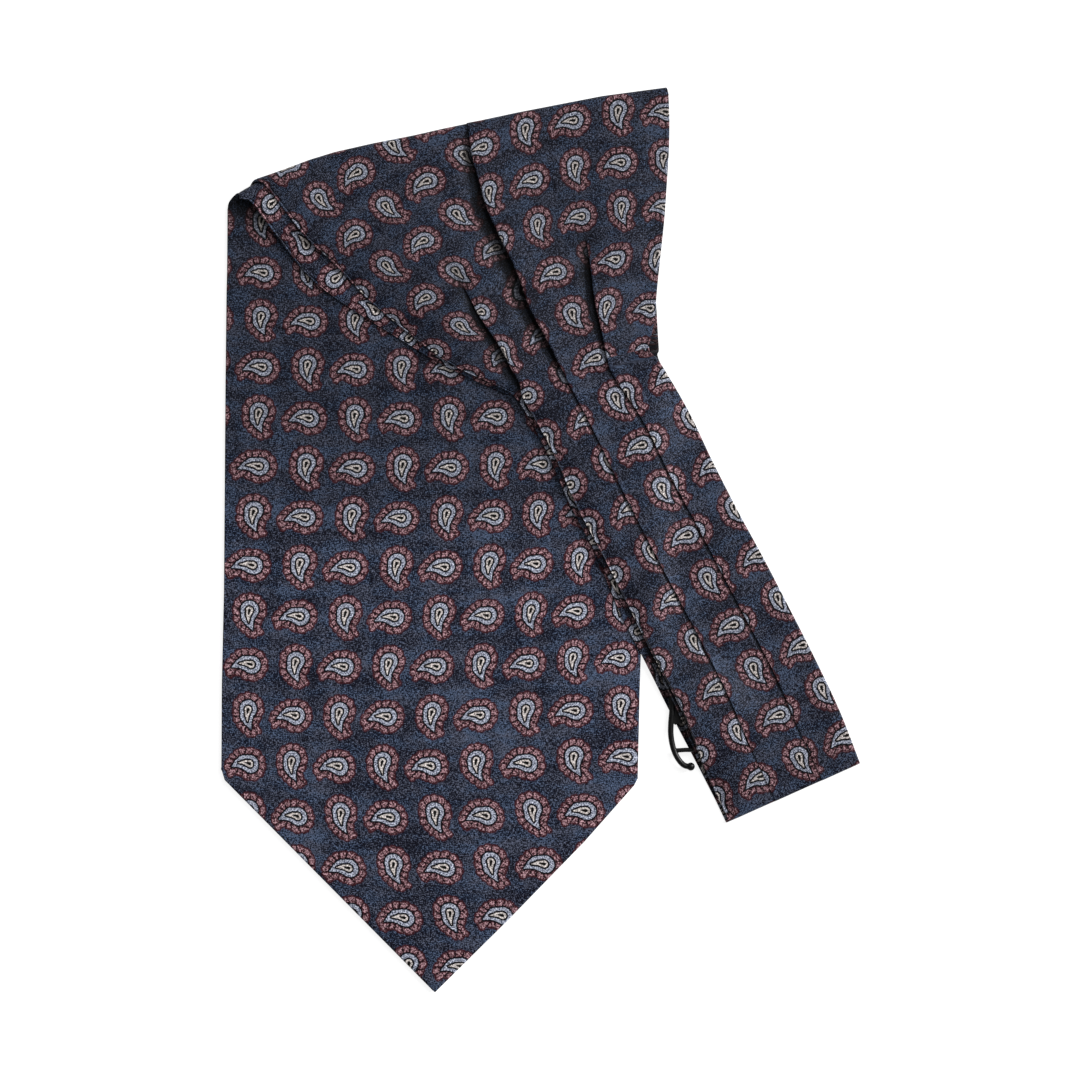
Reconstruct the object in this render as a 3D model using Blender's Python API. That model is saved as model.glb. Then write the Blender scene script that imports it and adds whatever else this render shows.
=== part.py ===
"""Silk day cravat, folded flat, with the small black hook that it is shown on.

The cravat is one long band with a wide pointed blade at each end and a narrow pleated
neckband between them. It is folded in half at the middle of the neckband, and both
halves are folded forward together along a slanting line above the blades, so that the
pleated part and the neckband lie on the front blade.

Lengths are in millimetres until build_object() turns them into metres. +Z is up, +Y
runs from the blades' points to the top fold, and the origin is under the middle of
the outline.
"""

import math

import bmesh
import bpy
import numpy as np

MM = 0.001

# The cloth is sewn double and turned, so one wall stands for face and lining together.
WALL = 1.0
GAP = 0.3
RIM_ROUNDING = 0.3

# A blade ends this far short of the top fold's axis, so that it clears the roll's facets.
FOLD_CLEARANCE = 0.6

# Heights of the undersides of the layers, counted up from the table.
HIDDEN_BLADE_Z = 0.0
FRONT_BLADE_Z = HIDDEN_BLADE_Z + WALL + GAP
UNDER_HALF_Z = FRONT_BLADE_Z + WALL + GAP
UPPER_CLEARANCE = 0.4

# The cut end of a blade, from the left shoulder over the point to the right shoulder.
# (across, x, y)
BLADE_POINT = (
    (0.000, -122.1, -87.6),
    (0.012, -120.9, -91.6),
    (0.505, -41.7, -171.7),
    (0.513, -40.4, -172.9),
    (0.521, -39.1, -171.6),
    (0.990, 35.9, -93.6),
    (1.000, 37.1, -91.4),
)

# Straight cross sections of a blade above its shoulders.
# (left_x, left_y, right_x, right_y)
BLADE_SECTIONS = (
    (-121.7, -55.0, 37.6, -60.0),
    (-120.9, -20.0, 38.7, -25.0),
    (-120.6, 20.0, 39.9, 20.0),
    (-120.3, 60.0, 41.6, 64.0),
    (-119.9, 95.0, 43.7, 110.0),
)
# How far across a blade's columns lie: close together under the open roll, and with one
# on each corner of its cut end.
BLADE_COLUMNS = (0.0, 0.012, 0.03, 0.055, 0.1, 0.15, 0.2, 0.3, 0.4)
BLADE_COLUMNS += (0.505, 0.513, 0.521, 0.6, 0.7, 0.8, 0.9, 0.99, 1.0)
HIDDEN_BLADE_INSET = 0.8

# Axis of the top fold, which both halves of the cravat roll over.
# (x, y)
TOP_FOLD = (
    (-118.6, 126.6),
    (-117.0, 128.9),
    (-114.0, 130.9),
    (-109.5, 133.6),
    (-104.5, 136.4),
    (-95.6, 139.8),
    (-87.7, 143.0),
    (-78.0, 146.1),
    (-63.6, 149.4),
    (-48.2, 152.4),
    (-36.4, 155.4),
    (-21.8, 158.6),
    (-8.4, 161.6),
    (7.7, 164.7),
    (24.2, 167.8),
    (48.8, 170.8),
)
TOP_FOLD_RISE = math.radians(13.5)
TOP_FOLD_STEPS = 6

# The sections nearest the top fold are bowed as it is, less and less over this many.
FOLD_BOW_SECTIONS = 4.0

# At its left end the top fold is an open roll, whose upper layers stand off the blade.
ROLL_CORNER_X = -114.0
ROLL_CORNER_Y = 130.0
ROLL_LIFT = 2.6
ROLL_REACH = 21.0

# The upper half, from the top fold over the pleated taper to the end of the neckband.
# left, main and right are how far across each pleat's edge lies, and the rises say how
# high that edge stands over the cloth that it covers.
# (left_x, left_y, right_x, right_y, left, main, right, left_rise, main_rise, right_rise)
UPPER_SECTIONS = (
    (-108.5, 134.2, 48.6, 170.8, 0.323, 0.504, 0.784, 0.0, 0.5, 0.0),
    (-101.5, 131.0, 49.0, 161.0, 0.309, 0.497, 0.774, 0.0, 1.0, 0.0),
    (-95.0, 122.6, 48.8, 149.0, 0.315, 0.496, 0.769, 0.0, 1.4, 0.0),
    (-88.3, 114.5, 48.0, 136.0, 0.323, 0.499, 0.766, 0.0, 1.6, 0.0),
    (-78.3, 105.3, 47.0, 122.0, 0.319, 0.506, 0.760, 0.0, 1.7, 0.3),
    (-66.8, 93.1, 45.4, 107.0, 0.328, 0.519, 0.764, 0.1, 1.8, 0.9),
    (-52.0, 80.5, 44.2, 95.0, 0.299, 0.499, 0.753, 0.7, 1.8, 1.2),
    (-34.3, 67.4, 43.2, 83.0, 0.256, 0.480, 0.742, 1.3, 1.7, 1.2),
    (-15.9, 58.6, 41.2, 73.0, 0.127, 0.421, 0.722, 1.4, 1.3, 0.9),
    (-8.2, 53.1, 45.4, 67.8, 0.030, 0.363, 0.667, 1.1, 0.7, 0.6),
    (2.5, 34.1, 56.3, 49.4, 0.029, 0.347, 0.686, 0.9, 0.5, 0.5),
    (11.7, 13.3, 65.6, 30.0, 0.028, 0.356, 0.695, 0.8, 0.5, 0.5),
    (22.2, -6.6, 75.4, 10.8, 0.029, 0.352, 0.703, 0.8, 0.5, 0.5),
    (32.5, -26.5, 85.6, -8.0, 0.028, 0.354, 0.699, 0.7, 0.5, 0.5),
    (43.0, -46.3, 94.9, -26.0, 0.029, 0.354, 0.700, 0.6, 0.5, 0.5),
    (53.0, -66.4, 104.9, -45.7, 0.022, 0.353, 0.705, 0.5, 0.5, 0.5),
    (61.6, -87.0, 114.3, -65.6, 0.014, 0.354, 0.700, 0.4, 0.5, 0.5),
    (70.7, -106.6, 121.6, -84.1, 0.012, 0.362, 0.715, 0.3, 0.4, 0.5),
)
UPPER_GORE_STEPS = (5, 6, 6, 6)
PLEAT_FOOT = 0.35

# Left of the left pleat, columns crowd towards the open roll, and spread out below it.
ROLL_CROWDING = 0.7
ROLL_CROWDING_SECTIONS = 5.0
BAND_FIRST = 9

# The under half, which shows as a strip beside the upper one. Its sections are those of
# the upper half, so only its own ends are stated.
# (left_x, left_y, right_x, right_y)
UNDER_SECTIONS = (
    (-118.4, 126.9, 48.4, 170.7),
    (-110.6, 130.0, 48.2, 160.6),
    (-104.4, 121.6, 47.9, 148.8),
    (-97.0, 111.4, 47.1, 135.8),
    (-88.6, 101.0, 46.1, 121.8),
    (-77.0, 91.7, 44.8, 107.0),
    (-58.0, 79.6, 43.9, 95.0),
    (-36.2, 66.6, 44.4, 83.0),
    (-15.0, 56.8, 45.0, 73.0),
    (-5.4, 53.9, 45.2, 68.4),
    (4.1, 34.6, 54.6, 48.9),
    (13.1, 13.7, 63.9, 29.5),
    (22.0, -6.7, 73.7, 10.2),
    (30.4, -27.2, 83.9, -8.6),
    (40.6, -47.2, 93.3, -26.6),
    (50.7, -67.4, 103.2, -46.4),
    (61.0, -87.2, 112.8, -66.2),
    (70.9, -106.5, 120.4, -84.6),
)
# Its columns crowd towards its left edge, where the open roll bends it most.
UNDER_COLUMNS = 21
UNDER_COLUMN_CROWDING = 1.35
ROWS_PER_SECTION = 2
BAND_ROWS_PER_SECTION = 3

# Past the front blade's right edge the neckband slopes down to the table.
DROP_START = 1.5
DROP_LENGTH = 15.0

# The turn at the end of the neckband.
END_TURN_HEADING = math.radians(-66.0)
END_TURN_STEPS = 4

# The hook's tab lies between the two halves, and the upper one swells over it.
TAB_X = 58.9
TAB_Y = -67.0
SWELL = 2.1
SWELL_FLAT = 13.0
SWELL_REACH = 27.0

# The hook is one moulding of round bars on a flat tab.
HOOK_Z = 2.5
TAB_THICKNESS = 1.0
GUSSET_THICKNESS = 0.9
# (x, y)
TAB_OUTLINE = ((53.6, -57.4), (59.8, -54.6), (68.6, -75.3), (62.6, -79.0))
GUSSET_OUTLINE = (
    (49.2, -59.6),
    (51.3, -56.0),
    (56.9, -56.6),
    (60.0, -68.6),
    (54.0, -69.2),
    (50.0, -66.0),
)
HOOK_ARM = (
    (50.6, -60.5),
    (50.3, -65.6),
    (49.9, -70.4),
    (49.9, -74.7),
    (50.6, -78.9),
    (51.9, -82.4),
    (53.6, -85.0),
    (55.4, -86.4),
    (57.5, -86.7),
)
HOOK_ARM_RADIUS = 0.7
HOOK_BRIDGE = ((50.8, -80.6), (59.2, -80.0), (64.6, -77.2))
HOOK_BRIDGE_RADIUS = 0.6
HOOK_BALL_RADIUS = 1.1
BAR_SIDES = 8
BALL_SEGMENTS = 10
BALL_RINGS = 6

SILK_COLOUR = (0.035, 0.045, 0.085, 1.0)
SILK_BACK_COLOUR = (0.03, 0.038, 0.07, 1.0)
HOOK_COLOUR = (0.01, 0.01, 0.011, 1.0)
SILK_ROUGHNESS = 0.55
HOOK_ROUGHNESS = 0.3


def clear_scene():
    for obj in list(bpy.data.objects):
        bpy.data.objects.remove(obj)


def smooth_step(value):
    """0 up to value 0 and 1 from value 1, with a soft bend at both ends."""
    value = np.clip(value, 0.0, 1.0)
    return value * value * (3.0 - 2.0 * value)


def section(table, along):
    """One row of a table of sections, with a smooth curve through the rows beside it."""
    rows = np.array(table)
    last = len(rows) - 1
    first = min(int(along), last - 1)
    part = along - first
    before, start, end, after = (rows[min(max(first + step, 0), last)] for step in (-1, 0, 1, 2))
    bend = start * 2.0 + (end - before) * part
    bend += (2.0 * before - 5.0 * start + 4.0 * end - after) * part**2
    bend += (3.0 * start - before - 3.0 * end + after) * part**3
    return bend / 2.0


def top_fold_y(x):
    xs, ys = np.array(TOP_FOLD).T
    return np.interp(x, xs, ys)


def line_between(ends, across):
    """Points on the straight line between a section's left and right ends."""
    left_x, left_y, right_x, right_y = ends[:4]
    return left_x + (right_x - left_x) * across, left_y + (right_y - left_y) * across


def folded_line(table, along, across):
    """A section's points in plan, bowed as the top fold is where they are near it."""
    x, y = line_between(section(table, along), across)
    fold_x, chord_y = line_between(table[0], across)
    nearness = np.clip(1.0 - along / FOLD_BOW_SECTIONS, 0.0, 1.0) ** 2
    return x, y + (top_fold_y(fold_x) - chord_y) * nearness


def roll_lift(x, y):
    distance = np.hypot(x - ROLL_CORNER_X, y - ROLL_CORNER_Y)
    return ROLL_LIFT * np.exp(-((distance / ROLL_REACH) ** 2))


def blade_right_edge(y):
    corners = [BLADE_POINT[-1][1:]] + [row[2:] for row in BLADE_SECTIONS] + [TOP_FOLD[-1]]
    xs, ys = np.array(corners).T
    return np.interp(y, ys, xs)


def under_half_base(x, y):
    """Underside of the under half: on the front blade, and on the table beside it."""
    past_edge = x - blade_right_edge(y) - DROP_START
    drop = UNDER_HALF_Z * smooth_step(past_edge / DROP_LENGTH)
    return UNDER_HALF_Z - drop + roll_lift(x, y)


def upper_half_base(x, y):
    """Underside of the upper half, which lies on the under half and on the hook's tab."""
    from_tab = np.hypot(x - TAB_X, y - TAB_Y)
    swell = SWELL * (1.0 - smooth_step((from_tab - SWELL_FLAT) / (SWELL_REACH - SWELL_FLAT)))
    return under_half_base(x, y) + WALL + UPPER_CLEARANCE + swell


def row_positions():
    """How far along each row lies, counted in sections, and closer on the neckband."""
    last = len(UPPER_SECTIONS) - 1
    taper = np.linspace(0.0, BAND_FIRST, BAND_FIRST * ROWS_PER_SECTION + 1)
    band = np.linspace(BAND_FIRST, last, (last - BAND_FIRST) * BAND_ROWS_PER_SECTION + 1)
    return list(taper) + list(band[1:])


def pleated_row(along):
    """Across and rise of a row's columns, and how far the wall's inside is set in.

    Each gore starts high on its own pleat's edge and slopes down to the foot of the
    next one, where the wall steps up. The inside steps up a wall's thickness later.
    """
    row = section(UPPER_SECTIONS, along)
    width = math.hypot(row[2] - row[0], row[3] - row[1])
    edges = [0.0, row[4], row[5], row[6], 1.0]
    rises = [0.0] + [max(rise, 0.0) for rise in row[7:]]
    crowding = 1.0 + ROLL_CROWDING * max(0.0, 1.0 - along / ROLL_CROWDING_SECTIONS)
    across, rise, inset = [], [], []
    for gore, steps in enumerate(UPPER_GORE_STEPS):
        is_last = gore == len(UPPER_GORE_STEPS) - 1
        end = edges[gore + 1] - (0.0 if is_last else PLEAT_FOOT / width)
        for step in range(steps + 1):
            part = (step / steps) ** (crowding if gore == 0 else 1.0)
            at_crest = step == 0 and gore > 0
            at_foot = step == steps and not is_last
            across.append(edges[gore] + (end - edges[gore]) * part)
            rise.append(rises[gore] * (1.0 - part) ** 2)
            inset.append(WALL / width if at_crest or at_foot else 0.0)
    return np.array(across), np.array(rise), np.array(inset)


def roll_rows(x, y, low_z, high_z, heading, steps):
    """Outside and inside points of a half turn from low_z up to high_z, both mid wall."""
    rows = []
    for step in range(steps):
        turn = math.pi * step / steps
        rows.append([])
        for side in (0.5, -0.5):
            radius = (high_z - low_z) / 2.0 + side * WALL
            out = radius * math.sin(turn)
            z = (high_z + low_z) / 2.0 - radius * math.cos(turn)
            rows[-1].append(np.stack([x + out * math.cos(heading), y + out * math.sin(heading), z], -1))
    return rows


def upper_half_rows():
    outward = TOP_FOLD_RISE + math.pi / 2.0
    across, rise, _ = pleated_row(0.0)
    x, y = folded_line(UPPER_SECTIONS, 0.0, across)
    low = np.full_like(x, HIDDEN_BLADE_Z + WALL / 2.0)
    high = upper_half_base(x, y) + WALL / 2.0 + rise
    rows = roll_rows(x, y, low, high, outward, TOP_FOLD_STEPS)
    for along in row_positions():
        across, rise, inset = pleated_row(along)
        x, y = folded_line(UPPER_SECTIONS, along, across)
        outside = np.stack([x, y, upper_half_base(x, y) + WALL + rise], -1)
        x, y = folded_line(UPPER_SECTIONS, along, across + inset * min(along, 1.0))
        inside = np.stack([x, y, upper_half_base(x, y) + rise], -1)
        rows.append([outside, inside])
    low = np.full_like(x, HIDDEN_BLADE_Z + WALL / 2.0)
    high = upper_half_base(x, y) + WALL / 2.0 + rise
    turn = roll_rows(x, y, low, high, END_TURN_HEADING, END_TURN_STEPS)
    return rows + turn[::-1]


def under_half_rows():
    outward = TOP_FOLD_RISE + math.pi / 2.0
    across = np.linspace(0.0, 1.0, UNDER_COLUMNS) ** UNDER_COLUMN_CROWDING
    x, y = folded_line(UNDER_SECTIONS, 0.0, across)
    low = np.full_like(x, FRONT_BLADE_Z + WALL / 2.0)
    high = under_half_base(x, y) + WALL / 2.0
    rows = roll_rows(x, y, low, high, outward, TOP_FOLD_STEPS)
    for along in row_positions():
        x, y = folded_line(UNDER_SECTIONS, along, across)
        base = under_half_base(x, y)
        rows.append([np.stack([x, y, base + WALL], -1), np.stack([x, y, base], -1)])
    return rows


def blade_rows(underside, inset):
    """A flat pointed blade, from its cut end up to the top fold."""
    across = np.array(BLADE_COLUMNS)
    side = inset * (1.0 - 2.0 * across)
    table_across, table_x, table_y = np.array(BLADE_POINT).T
    lines = [(np.interp(across, table_across, table_x), np.interp(across, table_across, table_y) + inset)]
    lines += [line_between(ends, across) for ends in BLADE_SECTIONS]
    fold_x = np.interp(across, (0.0, 1.0), (TOP_FOLD[0][0], TOP_FOLD[-1][0]))
    lines.append((fold_x, top_fold_y(fold_x) - FOLD_CLEARANCE))
    rows = []
    for x, y in lines:
        top = np.stack([x + side, y, np.full_like(x, underside + WALL)], -1)
        rows.append([top, top - (0.0, 0.0, WALL)])
    return rows


def wall_mesh(rows, rounded_ends):
    """A closed wall through rows of outside and inside points, with rounded side rims.

    rounded_ends says whether the first and the last row have rounded rims too.
    """
    outside = [row[0] for row in rows]
    inside = [row[1] for row in rows]
    mesh = bmesh.new()
    outside_verts = [[mesh.verts.new(point) for point in row] for row in outside]
    inside_verts = [[mesh.verts.new(point) for point in row] for row in inside]
    count = len(outside[0])
    last = len(rows) - 1
    for grid, is_inside in ((outside_verts, False), (inside_verts, True)):
        for row in range(last):
            for column in range(count - 1):
                corners = [grid[row][column], grid[row][column + 1]]
                corners += [grid[row + 1][column + 1], grid[row + 1][column]]
                mesh.faces.new(corners[::-1] if is_inside else corners)
    rim = [(0, column) for column in range(count)]
    rim += [(row, count - 1) for row in range(1, last + 1)]
    rim += [(last, column) for column in range(count - 2, -1, -1)]
    rim += [(row, 0) for row in range(last - 1, 0, -1)]
    middle = []
    for row, column in rim:
        centre = (outside[row][column] + inside[row][column]) / 2.0
        away = np.zeros(3)
        if column in (0, count - 1):
            inner = 1 if column == 0 else count - 2
            away += centre - (outside[row][inner] + inside[row][inner]) / 2.0
        elif row in (0, last) and rounded_ends[0 if row == 0 else 1]:
            inner = 1 if row == 0 else last - 1
            away += centre - (outside[inner][column] + inside[inner][column]) / 2.0
        away[2] = 0.0
        length = np.linalg.norm(away)
        middle.append(mesh.verts.new(centre + away * (RIM_ROUNDING / length if length else 0.0)))
    for index, (row, column) in enumerate(rim):
        after = (index + 1) % len(rim)
        next_row, next_column = rim[after]
        upper = [outside_verts[row][column], outside_verts[next_row][next_column]]
        lower = [inside_verts[row][column], inside_verts[next_row][next_column]]
        mesh.faces.new([upper[0], middle[index], middle[after], upper[1]])
        mesh.faces.new([middle[index], lower[0], lower[1], middle[after]])
    bmesh.ops.recalc_face_normals(mesh, faces=mesh.faces)
    return mesh


def prism_mesh(outline, thickness):
    """A flat plate of the outline, with its middle at the hook's height."""
    mesh = bmesh.new()
    lower = [mesh.verts.new((x, y, HOOK_Z - thickness / 2.0)) for x, y in outline]
    upper = [mesh.verts.new((x, y, HOOK_Z + thickness / 2.0)) for x, y in outline]
    mesh.faces.new(lower)
    mesh.faces.new(upper)
    for index in range(len(outline)):
        after = (index + 1) % len(outline)
        mesh.faces.new([lower[index], lower[after], upper[after], upper[index]])
    bmesh.ops.recalc_face_normals(mesh, faces=mesh.faces)
    return mesh


def bar_mesh(path, radius):
    """A round bar along a flat path, with flat ends square to it."""
    points = np.array(path)
    headings = np.gradient(points, axis=0)
    headings /= np.linalg.norm(headings, axis=1)[:, None]
    turns = [2.0 * math.pi * (side + 0.5) / BAR_SIDES for side in range(BAR_SIDES)]
    mesh = bmesh.new()
    rings = []
    for (x, y), (head_x, head_y) in zip(points, headings):
        ring = []
        for turn in turns:
            aside = radius * math.cos(turn)
            z = HOOK_Z + radius * math.sin(turn)
            ring.append(mesh.verts.new((x - head_y * aside, y + head_x * aside, z)))
        rings.append(ring)
    mesh.faces.new(rings[0])
    mesh.faces.new(rings[-1])
    for ring, next_ring in zip(rings, rings[1:]):
        for side in range(BAR_SIDES):
            after = (side + 1) % BAR_SIDES
            mesh.faces.new([ring[side], ring[after], next_ring[after], next_ring[side]])
    bmesh.ops.recalc_face_normals(mesh, faces=mesh.faces)
    return mesh


def ball_mesh(x, y, radius):
    mesh = bmesh.new()
    bmesh.ops.create_uvsphere(mesh, u_segments=BALL_SEGMENTS, v_segments=BALL_RINGS, radius=radius)
    bmesh.ops.translate(mesh, verts=mesh.verts, vec=(x, y, HOOK_Z))
    return mesh


def material_named(name, colour, roughness):
    material = bpy.data.materials.new(name)
    material.use_nodes = True
    shader = material.node_tree.nodes["Principled BSDF"]
    shader.inputs["Base Color"].default_value = colour
    shader.inputs["Roughness"].default_value = roughness
    return material


def build_object(name, mesh, material):
    bmesh.ops.scale(mesh, verts=mesh.verts, vec=(MM, MM, MM))
    data = bpy.data.meshes.new(name)
    mesh.to_mesh(data)
    mesh.free()
    obj = bpy.data.objects.new(name, data)
    obj.data.materials.append(material)
    bpy.context.scene.collection.objects.link(obj)
    return obj


def build_hook(material):
    hook = build_object("hanger_hook", prism_mesh(TAB_OUTLINE, TAB_THICKNESS), material)
    additions = (
        prism_mesh(GUSSET_OUTLINE, GUSSET_THICKNESS),
        bar_mesh(HOOK_ARM, HOOK_ARM_RADIUS),
        bar_mesh(HOOK_BRIDGE, HOOK_BRIDGE_RADIUS),
        ball_mesh(*HOOK_ARM[-1], HOOK_BALL_RADIUS),
    )
    for index, mesh in enumerate(additions):
        helper = build_object(f"hook_piece_{index}", mesh, material)
        helper.hide_render = True
        helper.hide_set(True)
        join = hook.modifiers.new(f"join_{index}", "BOOLEAN")
        join.operation = "UNION"
        join.solver = "EXACT"
        join.object = helper


def build_cravat():
    clear_scene()
    silk = material_named("printed_silk", SILK_COLOUR, SILK_ROUGHNESS)
    silk_back = material_named("printed_silk_in_shade", SILK_BACK_COLOUR, SILK_ROUGHNESS)
    plastic = material_named("black_plastic", HOOK_COLOUR, HOOK_ROUGHNESS)
    both, start_only, neither = (True, True), (True, False), (False, False)
    build_object("front_blade", wall_mesh(blade_rows(FRONT_BLADE_Z, 0.0), start_only), silk)
    hidden = blade_rows(HIDDEN_BLADE_Z, HIDDEN_BLADE_INSET)
    build_object("hidden_blade", wall_mesh(hidden, start_only), silk_back)
    build_object("under_half", wall_mesh(under_half_rows(), neither), silk_back)
    build_object("upper_half", wall_mesh(upper_half_rows(), neither), silk)
    build_hook(plastic)


build_cravat()
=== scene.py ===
"""Looks of the folded silk cravat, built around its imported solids.

Each stretch of cloth is a fine closed shell on the form of the solid that it replaces, with
sharper pleats, soft creases and a printed paisley that follows the cut of each gore. Plan
coordinates are in millimetres until add_shell() turns them into metres.
"""

import math

import bmesh
import bpy
import numpy as np
from mathutils import Matrix, Vector, noise

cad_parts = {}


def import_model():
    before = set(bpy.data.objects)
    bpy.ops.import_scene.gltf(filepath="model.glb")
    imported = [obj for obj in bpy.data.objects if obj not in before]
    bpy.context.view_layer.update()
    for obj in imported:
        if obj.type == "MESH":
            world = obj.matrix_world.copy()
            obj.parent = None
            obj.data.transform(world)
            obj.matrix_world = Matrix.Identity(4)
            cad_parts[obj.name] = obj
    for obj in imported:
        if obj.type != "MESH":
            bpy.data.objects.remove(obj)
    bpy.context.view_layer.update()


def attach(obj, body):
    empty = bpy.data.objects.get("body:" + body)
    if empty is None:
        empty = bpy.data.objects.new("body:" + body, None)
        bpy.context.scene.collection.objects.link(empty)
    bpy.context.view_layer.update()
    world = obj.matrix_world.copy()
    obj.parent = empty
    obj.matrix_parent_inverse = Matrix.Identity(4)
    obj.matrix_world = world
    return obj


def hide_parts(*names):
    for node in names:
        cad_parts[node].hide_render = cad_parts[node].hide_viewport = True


MM = 0.001
NO_LENGTH = 1e-9

# ---------- sizes of the folded cloth

WALL = 1.0
GAP = 0.3
HIDDEN_BLADE_Z = 0.0
FRONT_BLADE_Z = HIDDEN_BLADE_Z + WALL + GAP
UNDER_HALF_Z = FRONT_BLADE_Z + WALL + GAP
UPPER_CLEARANCE = 0.4
HIDDEN_BLADE_INSET = 0.8

# The cut end of a blade, from the left shoulder over the point to the right shoulder.
# (across, x, y)
BLADE_POINT = (
    (0.000, -122.1, -87.6),
    (0.012, -120.9, -91.6),
    (0.505, -41.7, -171.7),
    (0.513, -40.4, -172.9),
    (0.521, -39.1, -171.6),
    (0.680, -12.5, -145.3),
    (0.861, 16.7, -115.3),
    (0.990, 35.9, -93.6),
    (1.000, 37.1, -91.4),
)

# Straight cross sections of a blade above its shoulders.
# (left_x, left_y, right_x, right_y)
BLADE_SECTIONS = (
    (-121.7, -55.0, 37.6, -60.0),
    (-120.9, -20.0, 38.7, -25.0),
    (-120.6, 20.0, 39.9, 20.0),
    (-120.3, 60.0, 41.6, 64.0),
    (-119.9, 95.0, 43.7, 110.0),
)

# Axis of the top fold. (x, y)
TOP_FOLD = (
    (-118.6, 126.6), (-117.0, 128.9), (-114.0, 130.9), (-109.5, 133.6), (-104.5, 136.4),
    (-95.6, 139.8), (-87.7, 143.0), (-78.0, 146.1), (-63.6, 149.4), (-48.2, 152.4),
    (-36.4, 155.1), (-21.8, 158.1), (-8.4, 161.1), (7.7, 164.3), (24.2, 167.5), (48.8, 170.8),
)
TOP_FOLD_HEADING = math.radians(13.5 + 90.0)

# The blade's own top, where it comes out from under the fold at the left. (x, y)
BLADE_CORNER = (
    (-119.8, 126.6), (-119.7, 128.0), (-119.1, 129.6), (-117.9, 131.2), (-116.2, 132.8),
    (-113.6, 133.2), (-109.0, 133.6),
)
CORNER_COLUMNS = (0.0015, 0.004, 0.007, 0.015, 0.02)
FOLD_BOW_SECTIONS = 4.0

# How much darker the blade is painted in the hollow under the fold, as painted shade, how high
# the fold's open corner lifts, and how high the upper half's edge stands off the strip.
# (x, y, amount, reach)
PAINTED_BLADE_SHADE = (-114.0, 130.0, 0.7, 9.0)
ROLL_CORNER = (-114.0, 130.0, 2.6, 21.0)
LIFTED_CORNER = (-88.0, 115.5, 0.8, 11.0)

# How the roll of the upper half opens at its left end, (x, y), and how much painted shade
# darkens its inside, up to which share of the turn.
ROLL_SKEW = (-7.0, -3.4)
ROLL_SKEW_REACH = 12.0
PAINTED_ROLL_SHADE = 0.92
PAINTED_ROLL_SHADE_TURN = 0.45
PAINTED_ROLL_SHADE_BLEND = 0.15

# Sections of the upper half from the top fold to the neckband's end, with where its three
# pleats cross them, as shares, and how high these rise.
# (left_x, left_y, right_x, right_y, left, main, right, left_rise, main_rise, right_rise)
UPPER_SECTIONS = (
    (-105.2, 135.6, 48.6, 170.8, 0.310, 0.504, 0.784, 0.0, 0.5, 0.0),
    (-101.5, 131.0, 49.0, 161.0, 0.309, 0.497, 0.774, 0.0, 1.0, 0.0),
    (-95.0, 122.6, 48.8, 149.0, 0.315, 0.496, 0.769, 0.0, 1.4, 0.0),
    (-88.3, 114.5, 48.0, 136.0, 0.323, 0.499, 0.766, 0.0, 1.6, 0.0),
    (-78.3, 105.3, 47.0, 122.0, 0.319, 0.506, 0.760, 0.0, 1.7, 0.0),
    (-66.8, 93.1, 45.4, 107.0, 0.328, 0.519, 0.764, 0.1, 1.8, 0.6),
    (-52.0, 80.5, 44.2, 95.0, 0.299, 0.499, 0.753, 0.7, 1.8, 1.2),
    (-34.3, 67.4, 43.2, 83.0, 0.256, 0.480, 0.742, 1.3, 1.7, 1.2),
    (-15.9, 58.6, 41.2, 73.0, 0.127, 0.421, 0.722, 1.4, 1.3, 0.9),
    (-8.2, 53.1, 45.4, 67.8, 0.030, 0.363, 0.667, 1.1, 0.7, 0.6),
    (2.5, 34.1, 56.3, 49.4, 0.029, 0.347, 0.686, 0.9, 0.5, 0.5),
    (11.7, 13.3, 65.6, 30.0, 0.028, 0.356, 0.695, 0.8, 0.5, 0.5),
    (22.2, -6.6, 75.4, 10.8, 0.029, 0.352, 0.703, 0.8, 0.5, 0.5),
    (32.5, -26.5, 85.6, -8.0, 0.024, 0.354, 0.699, 0.7, 0.5, 0.5),
    (43.0, -46.3, 94.9, -26.0, 0.015, 0.354, 0.700, 0.6, 0.5, 0.5),
    (53.0, -66.4, 104.9, -45.7, 0.022, 0.353, 0.705, 0.5, 0.45, 0.5),
    (61.6, -87.0, 114.3, -65.6, 0.014, 0.354, 0.700, 0.4, 0.3, 0.35),
    (70.9, -107.1, 121.7, -84.6, 0.012, 0.362, 0.715, 0.3, 0.2, 0.2),
)

# Sections of the under half at the same stations. (left_x, left_y, right_x, right_y)
UNDER_SECTIONS = (
    (-114.6, 131.2, 48.4, 170.7),
    (-110.2, 129.4, 48.2, 160.6),
    (-104.4, 121.6, 47.9, 148.8),
    (-97.0, 111.4, 47.1, 135.8),
    (-88.6, 101.0, 46.1, 121.8),
    (-77.0, 91.7, 44.8, 107.0),
    (-58.0, 79.6, 43.9, 95.0),
    (-36.2, 66.6, 44.4, 83.0),
    (-15.0, 56.8, 45.0, 73.0),
    (-5.4, 53.9, 45.2, 68.4),
    (4.1, 34.6, 54.6, 48.9),
    (13.1, 13.7, 63.9, 29.5),
    (22.0, -6.7, 73.7, 10.2),
    (30.4, -27.2, 83.9, -8.6),
    (40.6, -47.2, 93.3, -26.6),
    (50.7, -67.4, 103.2, -46.4),
    (61.0, -87.2, 112.8, -66.2),
    (70.9, -106.5, 120.4, -84.6),
)
DROP_START = 1.5
DROP_LENGTH = 15.0
END_TURN_HEADING = math.radians(-66.0)

TAB_X = 58.9
TAB_Y = -67.0
SWELL = 2.1
SWELL_FLAT = 13.0
SWELL_REACH = 27.0

# ---------- how finely it is built

UPPER_GORE_COLUMNS = (34, 22, 32, 26)
UNDER_COLUMNS = 90
UNDER_CROWDING = 1.25
BLADE_COLUMNS = 100
ROWS_PER_SECTION = 11
ROLL_ROWS = 12
BLADE_ROW_STEP = 2.2

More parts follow.
